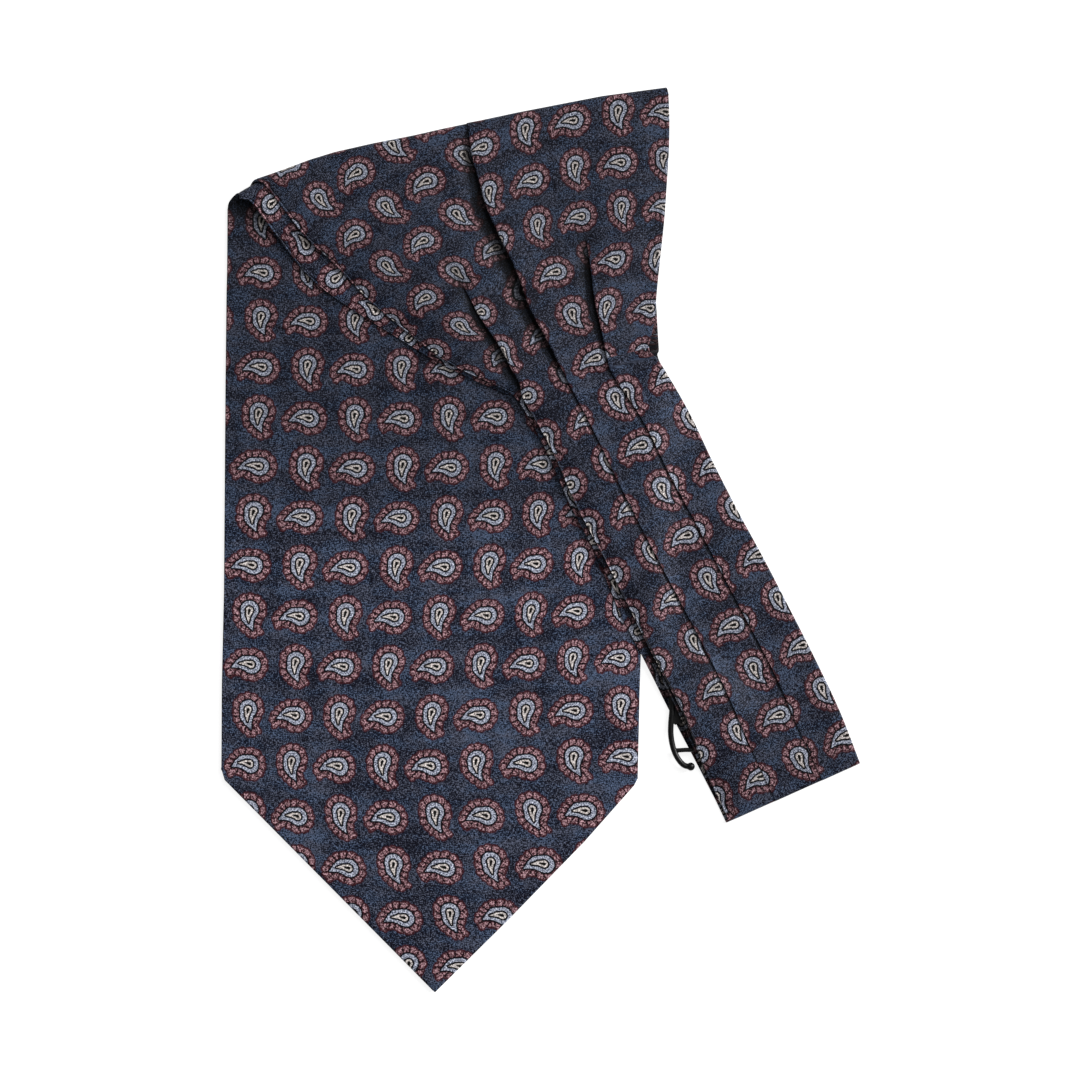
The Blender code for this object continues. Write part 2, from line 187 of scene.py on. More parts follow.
# Round a pleat the cloth turns back under the lip: how far right of the pleat's line, in tuck
# lengths and in nose radii, and how high, in rises. (tucks, noses, level)
PLEAT_TURN = (
    (0.40, 0.0, 0.00),
    (0.85, 0.0, 0.00),
    (1.00, 0.0, 0.32),
    (0.85, 0.0, 0.64),
    (0.35, 0.3, 0.65),
    (0.00, 0.5, 0.68),
    (0.00, 0.1, 0.75),
    (0.00, 0.0, 0.83),
    (0.00, 0.1, 0.92),
    (0.00, 0.5, 0.98),
)
PLEAT_SPREAD = 0.25
TUCK_PER_RISE = 2.6
NOSE_PER_RISE = 0.3
# The first rows of that table have the print of the gore that runs under the lip. The rows
# after the first and before the count below get painted shade under the lip, and those from
# LIP_LEVEL up are as light as the lip.
ROWS_OF_GORE_BELOW = 3
PAINTED_SHADE_ROWS = 5
LIP_LEVEL = 0.7

# How deep and how wide the cloth dips before each pleat, and how high it billows between
# them, at sections of the upper half.
# (section, left_depth, left_width, main_depth, main_width, right_depth, right_width, billow)
VALLEYS = (
    (0.0, 0.0, 2.0, 0.3, 3.0, 0.0, 2.0, 0.0),
    (1.5, 0.0, 2.0, 1.2, 4.5, 0.0, 2.0, 0.7),
    (3.0, 0.0, 2.5, 1.7, 6.0, 0.0, 3.0, 1.1),
    (3.8, 0.0, 2.5, 1.75, 6.2, 0.1, 3.0, 1.1),
    (4.5, 0.4, 3.0, 1.8, 6.5, 1.0, 4.5, 1.2),
    (6.0, 1.2, 4.2, 1.7, 5.6, 1.4, 4.0, 1.2),
    (7.0, 1.2, 4.2, 1.3, 3.6, 1.0, 2.4, 0.9),
    (8.0, 1.0, 3.0, 0.8, 1.8, 0.5, 1.3, 0.5),
    (9.0, 0.3, 0.8, 0.4, 1.1, 0.4, 1.1, 0.0),
    (15.0, 0.2, 0.5, 0.4, 1.0, 0.4, 1.0, 0.0),
    (17.0, 0.15, 0.4, 0.15, 0.8, 0.15, 0.8, 0.0),
)
LOWEST_DIP = -0.55

# The right end of the taper is tucked under the neckband's first row.
TUCK_AT = 7.94
TUCK_ROW = 0.012
TUCK_STEP = 0.45
TUCK_FADE = 1.5
TUCK_FOOT = 0.25
TUCK_SLOPE = 3.0

# How much of the left pleat's rise still shows along the neckband. (section, share)
LEDGE_RISE = ((8.0, 1.0), (10.0, 0.75), (13.0, 0.6), (17.0, 0.5))
EDGE_REACH = 22.0
INNER_START = 6.0
INNER_REACH = 8.0

# A pressed edge shows the line of its seam. (distance from the edge, height)
EDGE_SEAM = (
    (0.0, 0.0), (0.3, 0.0), (0.5, -0.14), (0.65, -0.26), (0.8, -0.14), (1.0, 0.0), (1.5, 0.0),
)
SEAM_SHARE = 0.8
SEAM_CLEARANCE = 0.002
EDGE_THIN = 0.42
EDGE_THIN_REACH = 5.0

# The left edges of both halves sink towards what they lie on. (section, share)
UPPER_SINK = ((0.0, 0.35), (1.4, 0.35), (2.4, 0.0), (7.5, 0.0), (9.5, 1.0), (17.0, 1.0))
UNDER_SINK = ((7.5, 0.0), (9.5, 1.0))
SINK_REACH = 9.0
UNDER_SINK_INSIDE = 0.25
UNDER_SINK_OUTSIDE = 0.35
UPPER_SINK_INSIDE = 0.95
UPPER_SINK_OUTSIDE = 1.1

# How light the cloth of a blade looks, (y, tone), and that of the upper half. (section, tone)
BLADE_TONE = ((-8.0, 1.12), (7.0, 0.98), (25.0, 0.86), (34.0, 0.84), (48.0, 0.78), (120.0, 0.7))
HALF_TONE = ((0.0, 0.75), (7.0, 0.74), (9.5, 0.86), (17.0, 0.83))

# Painted shade: how much darker a pleat's dip is painted, and how light the cloth is painted
# under a lip that rises by FULL_LIP.
PAINTED_DIP_SHADE = 0.85
DIP_SHARPNESS = 1.5
UNDER_LIP_PAINTED_SHADE = 0.4
FULL_LIP = 0.5

# How light the upper half's leftmost gore, which is the neckband's ledge, is painted: painted
# shade where it lies beside the lip and under the upper half's edge. (section, tone)
LEDGE_PAINTED_SHADE = (
    (8.0, 1.0), (12.0, 0.85), (13.4, 0.6), (14.0, 0.25), (15.4, 0.25), (16.0, 0.55), (17.0, 0.55),
)

# How light the under half is: darker near the top fold, and with painted shade where it shows
# beside the ledge below the upper half's edge; and its right part, which shows as a sliver,
# painted dark as painted shade. (section, tone)
UNDER_TONE_AND_SHADE = (
    (0.0, 0.86), (3.0, 0.92), (6.0, 1.0), (13.6, 1.0), (14.1, 0.45), (15.6, 0.45), (16.4, 0.8),
)
SLIVER_PAINTED_SHADE = ((5.0, 1.0), (6.5, 0.6), (7.2, 0.55), (7.7, 0.1))
SLIVER_FROM = 0.5
SLIVER_BLEND = 0.2

# Where a rim's points lie between the face and the lining. (down, out)
RIM_PROFILE = (
    (0.08, 0.14), (0.26, 0.3), (0.44, 0.28), (0.5, 0.12), (0.56, 0.28), (0.74, 0.3), (0.92, 0.14),
)

# ---------- the print

CELL_WIDTH = 18.08
CELL_LENGTH = 18.88

# Where rows of the blade's print lie in the photo, and three of the columns in each of them.
# (row, y, x of column -2, x of column 1, x of column 4)
BLADE_PRINT = (
    (-8, -163.0, -108.0, -50.5, 6.0),
    (-6, -125.0, -110.5, -56.5, 0.0),
    (-4, -86.0, -112.5, -61.0, -6.5),
    (-2, -48.0, -112.0, -58.5, -5.5),
    (0, -10.0, -111.5, -55.5, -2.5),
    (2, 28.0, -109.0, -53.0, 0.0),
    (4, 66.0, -107.5, -53.5, 0.0),
    (6, 102.0, -107.0, -53.0, 1.0),
)
BLADE_PRINT_COLUMNS = (-2.0, 1.0, 4.0)
BLADE_PRINT_BOW = 4.1e-4
BLADE_PRINT_BOW_X = -61.5

# Where some motifs lie on each panel in the photo, for the smooth map that places the rest.
# (x, y, column, row)
LEFT_PANEL = (
    (-84.5, 130.5, 0, 1), (-71.0, 116.5, 0, 0), (-71.0, 139.5, 1, 1), (-59.0, 128.5, 1, 0),
    (-57.0, 149.5, 2, 1), (-43.0, 137.5, 2, 0), (-31.6, 124.5, 2, -1), (-29.6, 147.0, 3, 0),
    (-46.0, 114.0, 1, -1), (-59.0, 103.5, 0, -1), (-44.5, 92.0, 0, -2), (-33.5, 102.5, 1, -2),
    (-17.5, 110.5, 2, -2), (-29.5, 81.5, 0, -3), (-15.5, 71.0, 0, -4),
)
LEFT_GORE = (
    (-33.5, 102.5, 1, -2), (-23.0, 87.5, 1, -3), (-14.5, 71.5, 1, -4), (-5.5, 55.0, 1, -5),
    (-31.0, 124.5, 2, -1), (-17.5, 110.5, 2, -2), (-7.0, 96.5, 2, -3), (2.5, 80.0, 2, -4),
    (10.5, 63.5, 2, -5), (19.0, 47.5, 2, -6),
)
RIGHT_PANEL = (
    (-22.5, 151.0, -1, 1), (-6.0, 156.0, 0, 1), (11.0, 161.0, 1, 1), (29.5, 162.0, 2, 1),
    (47.5, 165.0, 3, 1), (-4.0, 137.0, 0, 0), (12.5, 142.5, 1, 0), (30.5, 144.0, 2, 0),
    (46.5, 146.0, 3, 0), (-17.0, 114.5, -1, -1), (-1.0, 119.5, 0, -1), (15.0, 125.5, 1, -1),
    (31.0, 127.0, 2, -1), (46.5, 127.0, 3, -1),
)
MIDDLE_GORE = (
    (-1.0, 119.5, 0, -1), (15.0, 125.5, 1, -1), (-12.0, 95.5, -1, -2), (4.5, 102.0, 0, -2),
    (20.5, 109.0, 1, -2), (12.5, 86.5, 0, -3), (29.0, 94.0, 1, -3), (20.5, 69.5, 0, -4),
    (29.0, 53.5, 0, -5),
)
RIGHT_GORE = (
    (31.0, 127.0, 2, -1), (46.5, 127.0, 3, -1), (28.0, 106.5, 2, -2), (44.0, 108.0, 3, -2),
    (24.5, 89.5, 2, -3), (41.5, 90.0, 3, -3), (22.0, 69.5, 2, -4), (38.5, 69.5, 3, -4),
)
BAND_LEFT = (
    (26.0, 30.0, 2, -7), (74.9, -73.4, 2, -13), (10.0, 21.0, 1, -7), (59.5, -82.0, 1, -13),
)
BAND_MIDDLE = (
    (29.0, 53.5, 0, -5), (82.2, -49.6, 0, -11), (98.5, -83.8, 0, -13), (45.5, 61.5, 1, -5),
    (99.0, -42.0, 1, -11),
)
BAND_RIGHT = (
    (57.5, 46.5, 3, -6), (107.6, -57.4, 3, -12), (41.0, 38.0, 2, -6), (91.6, -65.9, 2, -12),
)
STRIP_PANEL = (
    (-101.6, 128.9, 0, 0), (-90.2, 113.3, 0, 1), (-77.4, 100.6, 0, 2), (-63.1, 88.6, 0, 3),
    (-49.2, 77.7, 0, 4), (-115.4, 117.3, 1, 0), (-91.2, 89.0, 1, 2), (-62.4, 65.1, 1, 4),
)
UNDER_BAND = (
    (13.4, 16.9, 0, 9), (38.7, -35.0, 0, 12), (63.9, -87.0, 0, 15), (22.4, -44.0, 1, 12),
)

# How far the print jumps, in columns and rows: over the cloth that the left pleat hides, on
# the under half's sliver, and where the taper is tucked under the neckband.
LEDGE_SHIFT = (-1.0, 0.24)
SLIVER_SHIFT = (0.45, 0.2)
TUCK_SHIFT = (0.0, -0.46)

# The sections between which one map of the print passes into the next. (start, end)
LEFT_TO_LEDGE = (8.2, 8.8)
LEFT_TO_GORE = (4.6, 5.6)
LEFT_TO_BAND = (8.0, 10.0)
RIGHT_TO_GORE = (3.8, 5.0)
MIDDLE_TO_BAND = (7.5, 9.5)
RIGHT_TO_BAND = (8.55, 8.8)
STRIP_TO_BAND = (7.0, 8.5)

# The paisley lies with its round end to the right, around the middle of its cell. Its drops
# are drawn as round spots joined by tapers, from the round end to the tip of the tail.
# (x, y, radius)
BLUE_DROP = ((1.6, -0.5, 3.25), (-1.2, 0.15, 2.4), (-3.3, -0.35, 1.4), (-6.1, -1.7, 0.1))
CREAM_DROP = ((1.35, -0.42, 1.3), (-0.6, 0.0, 0.75), (-3.3, -0.2, 0.05))
CORE_DROP = ((1.35, -0.42, 0.6), (-0.2, -0.05, 0.3))
TAIL_CURL = (-6.8, -4.6, 1.15)
DROP_MELT = 0.4
RING_MELT = 0.8
CELL_SHIFT = 0.6
MOTIF_X = 0.08
MOTIF_Y = 0.22
RAGGEDNESS = 0.3

# How far the lines and rings reach out from the drop inside them.
BLUE_LINE = 0.58
CREAM_LINE = 0.66
PETAL_REACH = 2.9
OUTLINE_REACH = 3.25
EDGE = 0.1

# Petals in a ring, and how far they turn from one column and from one row to the next.
PETALS = 14.0
PETAL_CENTRE = (-1.3, -0.2)
PETAL_STRETCH = 1.3
PETAL_LINE = 0.24
PETAL_TURN = (0.37, 0.61)
PETAL_RAGGEDNESS = 0.5
SCALLOP = 0.55
# Added so that no turn is below 0.
WHOLE_TURNS = 100.0

# Unevenness of the cloth, along the print's columns and rows. Fine ones are its threads and
# coarse ones its blotches. name: (features per mm along x, along y, detail, offset)
CLOTH_NOISE = {
    "ragged": (1.9, 1.9, 1.0, 0.0),
    "ragged_too": (1.9, 1.9, 1.0, 31.0),
    "warp": (3.0, 0.7, 1.0, 13.0),
    "weft": (0.7, 3.0, 1.0, 17.0),
    "bands": (0.025, 0.13, 4.0, 23.0),
    "stripes": (0.13, 0.03, 4.0, 29.0),
    "hue": (0.1, 0.22, 3.0, 37.0),
    "flecks": (1.5, 1.5, 1.0, 41.0),
    "threads": (1.8, 2.0, 1.5, 43.0),
}
DIAGONAL_NOISE = (2.3, 1.3, 1.5, 7.0)
TWILL_STEP = 1.53

# Display colours, 0 to 255. (dark, light)
BLUE_GROUND = ((4, 8, 25), (66, 78, 100))
GREY_GROUND = ((6, 7, 21), (70, 75, 91))
PETAL_REDS = ((54, 20, 27), (167, 132, 139))
DROP_BLUES = ((66, 72, 90), (180, 184, 199))
DROP_CREAMS = ((122, 114, 110), (207, 199, 196))
PLASTIC_BLACKS = ((5, 5, 6), (10, 10, 11))
MAROON = (50, 18, 24)
PETAL_GAP = (18, 3, 7)
DARK = (4, 4, 10)
CORE = (10, 7, 5)

# ---------- creases

# Soft troughs and ridges that cross the panels. (x0, y0, x1, y1, half_width, height)
CREASES = (
    (7.5, 106.0, 10.2, 117.5, 0.9, -0.35),
    (12.0, 119.4, 21.0, 119.0, 0.8, -0.25),
    (28.5, 66.0, 40.5, 71.5, 2.2, -0.55),
    (16.0, 62.0, 28.0, 66.0, 2.0, -0.25),
    (29.5, 81.5, 43.0, 81.0, 1.6, 0.3),
    (-30.0, 96.0, -24.0, 88.0, 1.2, -0.3),
    (-62.0, 122.0, -20.0, 84.0, 6.0, 0.3),
    (-46.0, 140.0, -22.0, 112.0, 5.0, -0.25),
    (4.0, 150.0, 12.0, 112.0, 5.0, 0.3),
    (34.0, 150.0, 32.0, 100.0, 5.0, 0.25),
    (-4.0, 44.0, 4.0, 40.0, 1.6, -0.2),
    (20.0, 30.0, 34.0, 37.0, 2.5, -0.12),
    (52.0, -2.0, 66.0, 5.0, 2.5, 0.12),
    (62.0, -46.0, 74.0, -40.0, 2.0, -0.12),
    (88.0, -60.0, 104.0, -52.0, 2.5, 0.12),
)
CREASE_END = 0.35

# Long soft waves of the upper half and, longer and lower, of the blades. A seed picks the
# waves of each piece.
WAVE_LENGTH = 34.0
WAVE_HEIGHT = 0.16
WAVE_SEED = 3.0
BLADE_WAVE_LENGTH = WAVE_LENGTH * 1.6
BLADE_WAVE_HEIGHT = WAVE_HEIGHT * 0.7
FRONT_BLADE_SEED = 5.0
HIDDEN_BLADE_SEED = 8.0
FRONT_BLADE_LIFT = 0.1

# Puckers of the stitched neckband, from section PUCKER_START on.
PUCKER_LENGTH = 5.0
PUCKER_HEIGHT = 0.05
PUCKER_SEED = 9.0
PUCKER_START = 8.0
PUCKER_BLEND = 2.0

# ---------- the hook

HOOK_Z = 2.5
TAB_THICKNESS = 1.0
TAB_OUTLINE = ((53.6, -57.4), (59.8, -54.6), (68.6, -75.3), (62.6, -79.0))
GUSSET_THICKNESS = 0.9
GUSSET_OUTLINE = (
    (48.9, -60.6), (51.4, -56.4), (56.9, -56.6), (60.0, -68.6), (54.2, -69.8), (51.4, -70.8),
    (49.4, -67.0),
)
HOOK_ARM = (
    (50.6, -60.5), (50.3, -65.6), (49.9, -70.4), (49.9, -74.7), (50.6, -78.9), (51.9, -82.4),
    (53.6, -85.0), (55.4, -86.4), (57.5, -86.7),
)
HOOK_ARM_RADIUS = 1.1
HOOK_BRIDGE = ((50.8, -80.6), (55.0, -80.35), (59.2, -80.0), (64.6, -77.2))
HOOK_BRIDGE_RADIUS = 0.86
HOOK_BALL_RADIUS = 1.58
BAR_SIDES = 16
BAR_ROWS_PER_SPAN = 6
BALL_SIDES = 24
BALL_RINGS = 14
HOOK_VOXEL = 0.13
HOOK_SMOOTHING = 4

# ---------- camera and light

VIEW_WIDTH = 413.64
VIEW_X = -0.19
LENS = 135.0
SENSOR = 36.0
NEAREST = 0.1
FARTHEST = 20.0

# Half the floor's side, and its height, in metres.
FLOOR_REACH = 6.0
FLOOR_Z = -0.00002
FLOOR_GREY = 0.35
FLOOR_GLOW = 0.85

# (name, place in metres, side in metres, watts)
LIGHTS = (
    ("key", (3.9, 1.9, 2.1), 1.1, 330.0),
    ("fill", (1.6, 2.0, 3.6), 1.6, 60.0),
)
WORLD_STRENGTH = 0.25
WHITE = (1.0, 1.0, 1.0, 1.0)


def smooth_step(value):
    value = np.clip(value, 0.0, 1.0)
    return value * value * (3.0 - 2.0 * value)


def section(table, along):
    """One row of a table of sections, with a smooth curve through the rows beside it."""
    rows = np.array(table)
    last = len(rows) - 1
    first = min(int(along), last - 1)
    part = along - first
    before, start, end, after = (rows[min(max(first + step, 0), last)] for step in (-1, 0, 1, 2))
    bend = start * 2.0 + (end - before) * part
    bend += (2.0 * before - 5.0 * start + 4.0 * end - after) * part**2
    bend += (3.0 * start - before - 3.0 * end + after) * part**3
    return bend / 2.0


def read_off(table, place):
    """What a table of (place, value, ...) rows says at a place, straight between its rows."""
    places, *columns = np.array(table).T
    values = [np.interp(place, places, column) for column in columns]
    return values if len(values) > 1 else values[0]


def line_between(ends, across):
    left_x, left_y, right_x, right_y = ends[:4]
    return left_x + (right_x - left_x) * across, left_y + (right_y - left_y) * across


def folded_line(table, along, across):
    """A section's points in plan, bowed as the top fold is where they are near it."""
    x, y = line_between(section(table, along), across)
    fold_x, chord_y = line_between(table[0], across)
    nearness = np.clip(1.0 - along / FOLD_BOW_SECTIONS, 0.0, 1.0) ** 2
    return x, y + (read_off(TOP_FOLD, fold_x) - chord_y) * nearness


def moved(x, y, heading, distance):
    return x + distance * math.cos(heading), y + distance * math.sin(heading)


def mound(x, y, spot):
    """A soft round mound around a spot: (x, y, amount, reach)."""
    distance = np.hypot(x - spot[0], y - spot[1])
    return spot[2] * np.exp(-((distance / spot[3]) ** 2))


def blade_right_edge(y):
    corners = [BLADE_POINT[-1][1:]] + [row[2:] for row in BLADE_SECTIONS] + [TOP_FOLD[-1]]
    xs, ys = np.array(corners).T
    return np.interp(y, ys, xs)


def tab_swell(x, y):
    from_tab = np.hypot(x - TAB_X, y - TAB_Y)
    return SWELL * (1.0 - smooth_step((from_tab - SWELL_FLAT) / (SWELL_REACH - SWELL_FLAT)))


def edge_sink(table, along, from_edge):
    """How far, from 0 to 1, the cloth near a left edge has sunk."""
    return read_off(table, along) * (1.0 - smooth_step(from_edge / SINK_REACH))


def under_half_base(x, y):
    """Underside of the under half: on the front blade, and on the table beside it."""
    past_edge = x - blade_right_edge(y) - DROP_START
    drop = UNDER_HALF_Z * smooth_step(past_edge / DROP_LENGTH)
    return UNDER_HALF_Z - drop + mound(x, y, ROLL_CORNER)


def upper_half_base(x, y):
    """Underside of the upper half, which lies on the under half and on the hook's tab."""
    swell = tab_swell(x, y) + mound(x, y, LIFTED_CORNER)
    return under_half_base(x, y) + WALL + UPPER_CLEARANCE + swell


# ---------- relief


def waves(x, y, length, seed):
    """Smooth noise between about -1 and 1, the same on every run."""
    values = [noise.noise(Vector((px / length, py / length, seed))) for px, py in zip(x, y)]
    return np.array(values)


def crease_relief(x, y):
    """Height that the creases add: each is deepest mid way and dies out at its ends."""
    relief = np.zeros_like(x)
    for x0, y0, x1, y1, half_width, height in CREASES:
        length = math.hypot(x1 - x0, y1 - y0)
        ahead_x, ahead_y = (x1 - x0) / length, (y1 - y0) / length
        along = (x - x0) * ahead_x + (y - y0) * ahead_y
        aside = (y - y0) * ahead_x - (x - x0) * ahead_y
        profile = np.exp(-((aside / half_width) ** 2))
        start = smooth_step(along / length / CREASE_END)
        end = smooth_step((1.0 - along / length) / CREASE_END)
        relief += height * profile * (start * end)
    return relief


def upper_relief(x, y, along):
    """Height that creases, waves and puckers add to the upper half."""
    band = smooth_step((along - PUCKER_START) / PUCKER_BLEND)
    relief = crease_relief(x, y) + WAVE_HEIGHT * waves(x, y, WAVE_LENGTH, WAVE_SEED)
    return relief + PUCKER_HEIGHT * band * waves(x, y, PUCKER_LENGTH, PUCKER_SEED)


# ---------- the print on each panel


def blade_print(x, y):
    """Column and row of the print at points of a blade."""
    rows, heights, *places = np.array(BLADE_PRINT).T
    level = y - BLADE_PRINT_BOW * (x - BLADE_PRINT_BOW_X) ** 2
    spacing = (heights[-1] - heights[0]) / (rows[-1] - rows[0])
    row = np.interp(level, heights, rows) + np.clip(level - heights[-1], 0.0, None) / spacing
    known = [np.interp(level, heights, place) for place in places]
    column = np.zeros_like(x)
    for index, here in enumerate(known):
        other, another = known[:index] + known[index + 1 :]
        weight = (x - other) * (x - another) / ((here - other) * (here - another))
        column += BLADE_PRINT_COLUMNS[index] * weight
    return np.stack([column, row + np.clip(level - heights[0], None, 0.0) / spacing], -1)


def terms(x, y, origin, bends):
    s, t = x - origin[0], y - origin[1]
    columns = [np.ones_like(s), s, t]
    if bends:
        columns += [s * s, s * t, t * t]
    return np.stack(columns, -1)


def panel_print(anchors, bends=True):
    """The smooth map from plan points to column and row that fits a panel's anchors best."""
    table = np.array(anchors, float)
    origin = table[:, :2].mean(0)
    known = terms(table[:, 0], table[:, 1], origin, bends)
    fit = np.linalg.lstsq(known, table[:, 2:], rcond=None)[0]
    return lambda x, y: terms(x, y, origin, bends) @ fit


def shifted(panel, shift):
    return lambda x, y: panel(x, y) + shift


def gore_prints():
    """The maps that each gore of the upper half passes through.

    Each gore has the map that it starts with, and then (map, (from section, to section)).
    """
    left, right = panel_print(LEFT_PANEL), panel_print(RIGHT_PANEL)
    left_gore, middle_gore = panel_print(LEFT_GORE), panel_print(MIDDLE_GORE)
    right_gore = panel_print(RIGHT_GORE, bends=False)
    bands = [panel_print(band, bends=False) for band in (BAND_LEFT, BAND_MIDDLE, BAND_RIGHT)]
    ledge, tucked = shifted(bands[0], LEDGE_SHIFT), shifted(right_gore, TUCK_SHIFT)
    at_tuck = (TUCK_AT, TUCK_AT + TUCK_ROW)
    return (
        (left, (ledge, LEFT_TO_LEDGE)),
        (left, (left_gore, LEFT_TO_GORE), (bands[0], LEFT_TO_BAND)),
        (right, (middle_gore, RIGHT_TO_GORE), (bands[1], MIDDLE_TO_BAND)),
        (right, (right_gore, RIGHT_TO_GORE), (tucked, at_tuck), (bands[2], RIGHT_TO_BAND)),
    )


def print_at(maps, x, y, along):
    """Column and row at points of a gore, changing smoothly from one map to the next."""
    place = maps[0](x, y)
    for panel, (start, end) in maps[1:]:
        if along > start:
            place = place + (panel(x, y) - place) * smooth_step((along - start) / (end - start))
    return place


# ---------- rows of points


def row_positions():
    last = len(UPPER_SECTIONS) - 1
    even = np.linspace(0.0, last, last * ROWS_PER_SECTION + 1)
    return np.unique(np.concatenate([even, [TUCK_AT, TUCK_AT + TUCK_ROW]]))


def half_turn(x, y, low_z, high_z, heading, count):
    """Rows of a half turn of the wall from low_z up to high_z, both mid wall.

    Each row is outside points, inside points and how much cloth lies between it and the top.
    """
    rows = []
    for step in range(count):
        turn = math.pi * step / count
        sides = []
        for side in (0.5, -0.5):
            radius = (high_z - low_z) / 2.0 + side * WALL
            z = (high_z + low_z) / 2.0 - radius * math.cos(turn)
            sides.append(np.stack([*moved(x, y, heading, radius * math.sin(turn)), z], -1))
        rows.append((sides[0], sides[1], (high_z - low_z + WALL) / 2.0 * (math.pi - turn)))
    return rows


def distance_from_first(x, y):
    """How far the points of a row lie from its left edge."""
    return np.hypot(x - x[0], y - y[0])


def seam_columns(width):
    """Where the columns beside a pressed edge lie, as shares of the width, and their heights."""
    places, heights = np.array(EDGE_SEAM).T
    return places / width, heights


def pleated_columns(along):
    """The columns of one row of the upper half.

    Returns across (of the plain section), shift (right of that, in mm), level (above the base's
    top, in mm), level of the inside, the gore that each column's print belongs to, how light
    the cloth is painted, painted shade in the dips and under the lips included, and the
    section's heading.
    """
    row = section(UPPER_SECTIONS, along)
    width = math.hypot(row[2] - row[0], row[3] - row[1])
    edges = [0.0, row[4], row[5], row[6], 1.0]
    rises = [0.0] + [max(rise, 0.0) for rise in row[7:]] + [0.0]
    rises[1] *= read_off(LEDGE_RISE, along)
    tuck = TUCK_STEP if along > TUCK_AT else 0.0
    tuck *= 1.0 - smooth_step((along - TUCK_AT) / TUCK_FADE)
    ledge_shade = read_off(LEDGE_PAINTED_SHADE, along)
    *dips, billow = read_off(VALLEYS, along)
    depths, widths = [0.0] + dips[0::2], [1.0] + dips[1::2]
    columns = []

    def surface(gore, place):
        """Level and tone of the cloth at a place of a gore, painted shade in the dips included."""
        part = (place - edges[gore]) / (edges[gore + 1] - edges[gore])
        crown = billow
        if gore == 0:
            crown *= smooth_step(place * width / EDGE_REACH)
        if gore == 3:
            crown *= smooth_step((1.0 - place) * width / EDGE_REACH)
        up = rises[gore] * (1.0 - part) ** 2 + crown
        # The ledge is painted darker, as painted shade.
        shade = ledge_shade if gore == 0 else 1.0
        if gore < 3:
            to_foot = (edges[gore + 1] - place) * width
            dip = math.exp(-((to_foot / widths[gore + 1]) ** 2))
            up -= depths[gore + 1] * dip
            # The dip before the next pleat is painted darker, as painted shade.
            shade -= PAINTED_DIP_SHADE * min(depths[gore + 1], 1.0) * dip**DIP_SHARPNESS
        if gore > 0:
            # Above the start of a pleat the dip is a soft hollow on both sides of its line, painted
            # darker there as painted shade.
            closed = 1.0 - min(rises[gore] / FULL_LIP, 1.0)
            dip = math.exp(-(((place - edges[gore]) * width / widths[gore]) ** 2))
            up -= depths[gore] * dip * closed
            shade -= PAINTED_DIP_SHADE * min(depths[gore], 1.0) * dip**DIP_SHARPNESS * closed
        if gore == 3:
            up += tuck * smooth_step((part - TUCK_FOOT) * TUCK_SLOPE)
        return max(up, LOWEST_DIP), shade

    for gore, count in enumerate(UPPER_GORE_COLUMNS):
        start = (PLEAT_SPREAD + NOSE_PER_RISE * rises[gore]) / width if gore > 0 else 0.0
        if gore > 0:
            low, low_tone = surface(gore - 1, edges[gore])
            high, high_tone = surface(gore, edges[gore] + start)
            for index, (tucks, noses, height) in enumerate(PLEAT_TURN):
                run = tucks * TUCK_PER_RISE + noses * NOSE_PER_RISE
                shift = run * rises[gore] + PLEAT_SPREAD * index / len(PLEAT_TURN)
                printed_as = gore - 1 if index < ROWS_OF_GORE_BELOW else gore
                shade = low_tone if height < LIP_LEVEL else high_tone
                # Rows tucked under a lip get painted shade.
                tucked = min(rises[gore] / FULL_LIP, 1.0) if 0 < index < PAINTED_SHADE_ROWS else 0.0
                tone = shade * (1.0 - (1.0 - UNDER_LIP_PAINTED_SHADE) * tucked)
                level = low + (high - low) * height
                columns.append((edges[gore], shift, level, 0.0, printed_as, tone))
        wide = edges[gore + 1] - edges[gore] - start
        places = edges[gore] + start + wide * np.linspace(0.0, 1.0, count + 1)
        seam = np.zeros(len(places))
        if gore == 0:
            near, heights = seam_columns(width)
            near = near * min(1.0, SEAM_SHARE * edges[1] / near[-1])
            places = np.concatenate([near, places[places > near[-1] + SEAM_CLEARANCE]])
            extra = UPPER_GORE_COLUMNS[0] + len(near) - len(places)
            places = np.concatenate([places[:-1], np.linspace(places[-2], places[-1], extra + 2)[1:]])
            seam = np.concatenate([heights, np.zeros(len(places) - len(near))])
        for place, groove in zip(places, seam):
            up, shade = surface(gore, place)
            thin = EDGE_THIN * (1.0 - smooth_step(place * width / EDGE_THIN_REACH))
            from_lip = (place - edges[gore]) * width
            lift = smooth_step((from_lip - INNER_START) / INNER_REACH) if gore > 0 else 1.0
            columns.append((place, 0.0, up + groove - thin, max(up * lift, 0.0), gore, shade))
    heading = np.array([row[2] - row[0], row[3] - row[1]]) / width
    *columns, tone = (np.array(values) for values in zip(*columns))
    return *columns, tone * read_off(HALF_TONE, along), heading


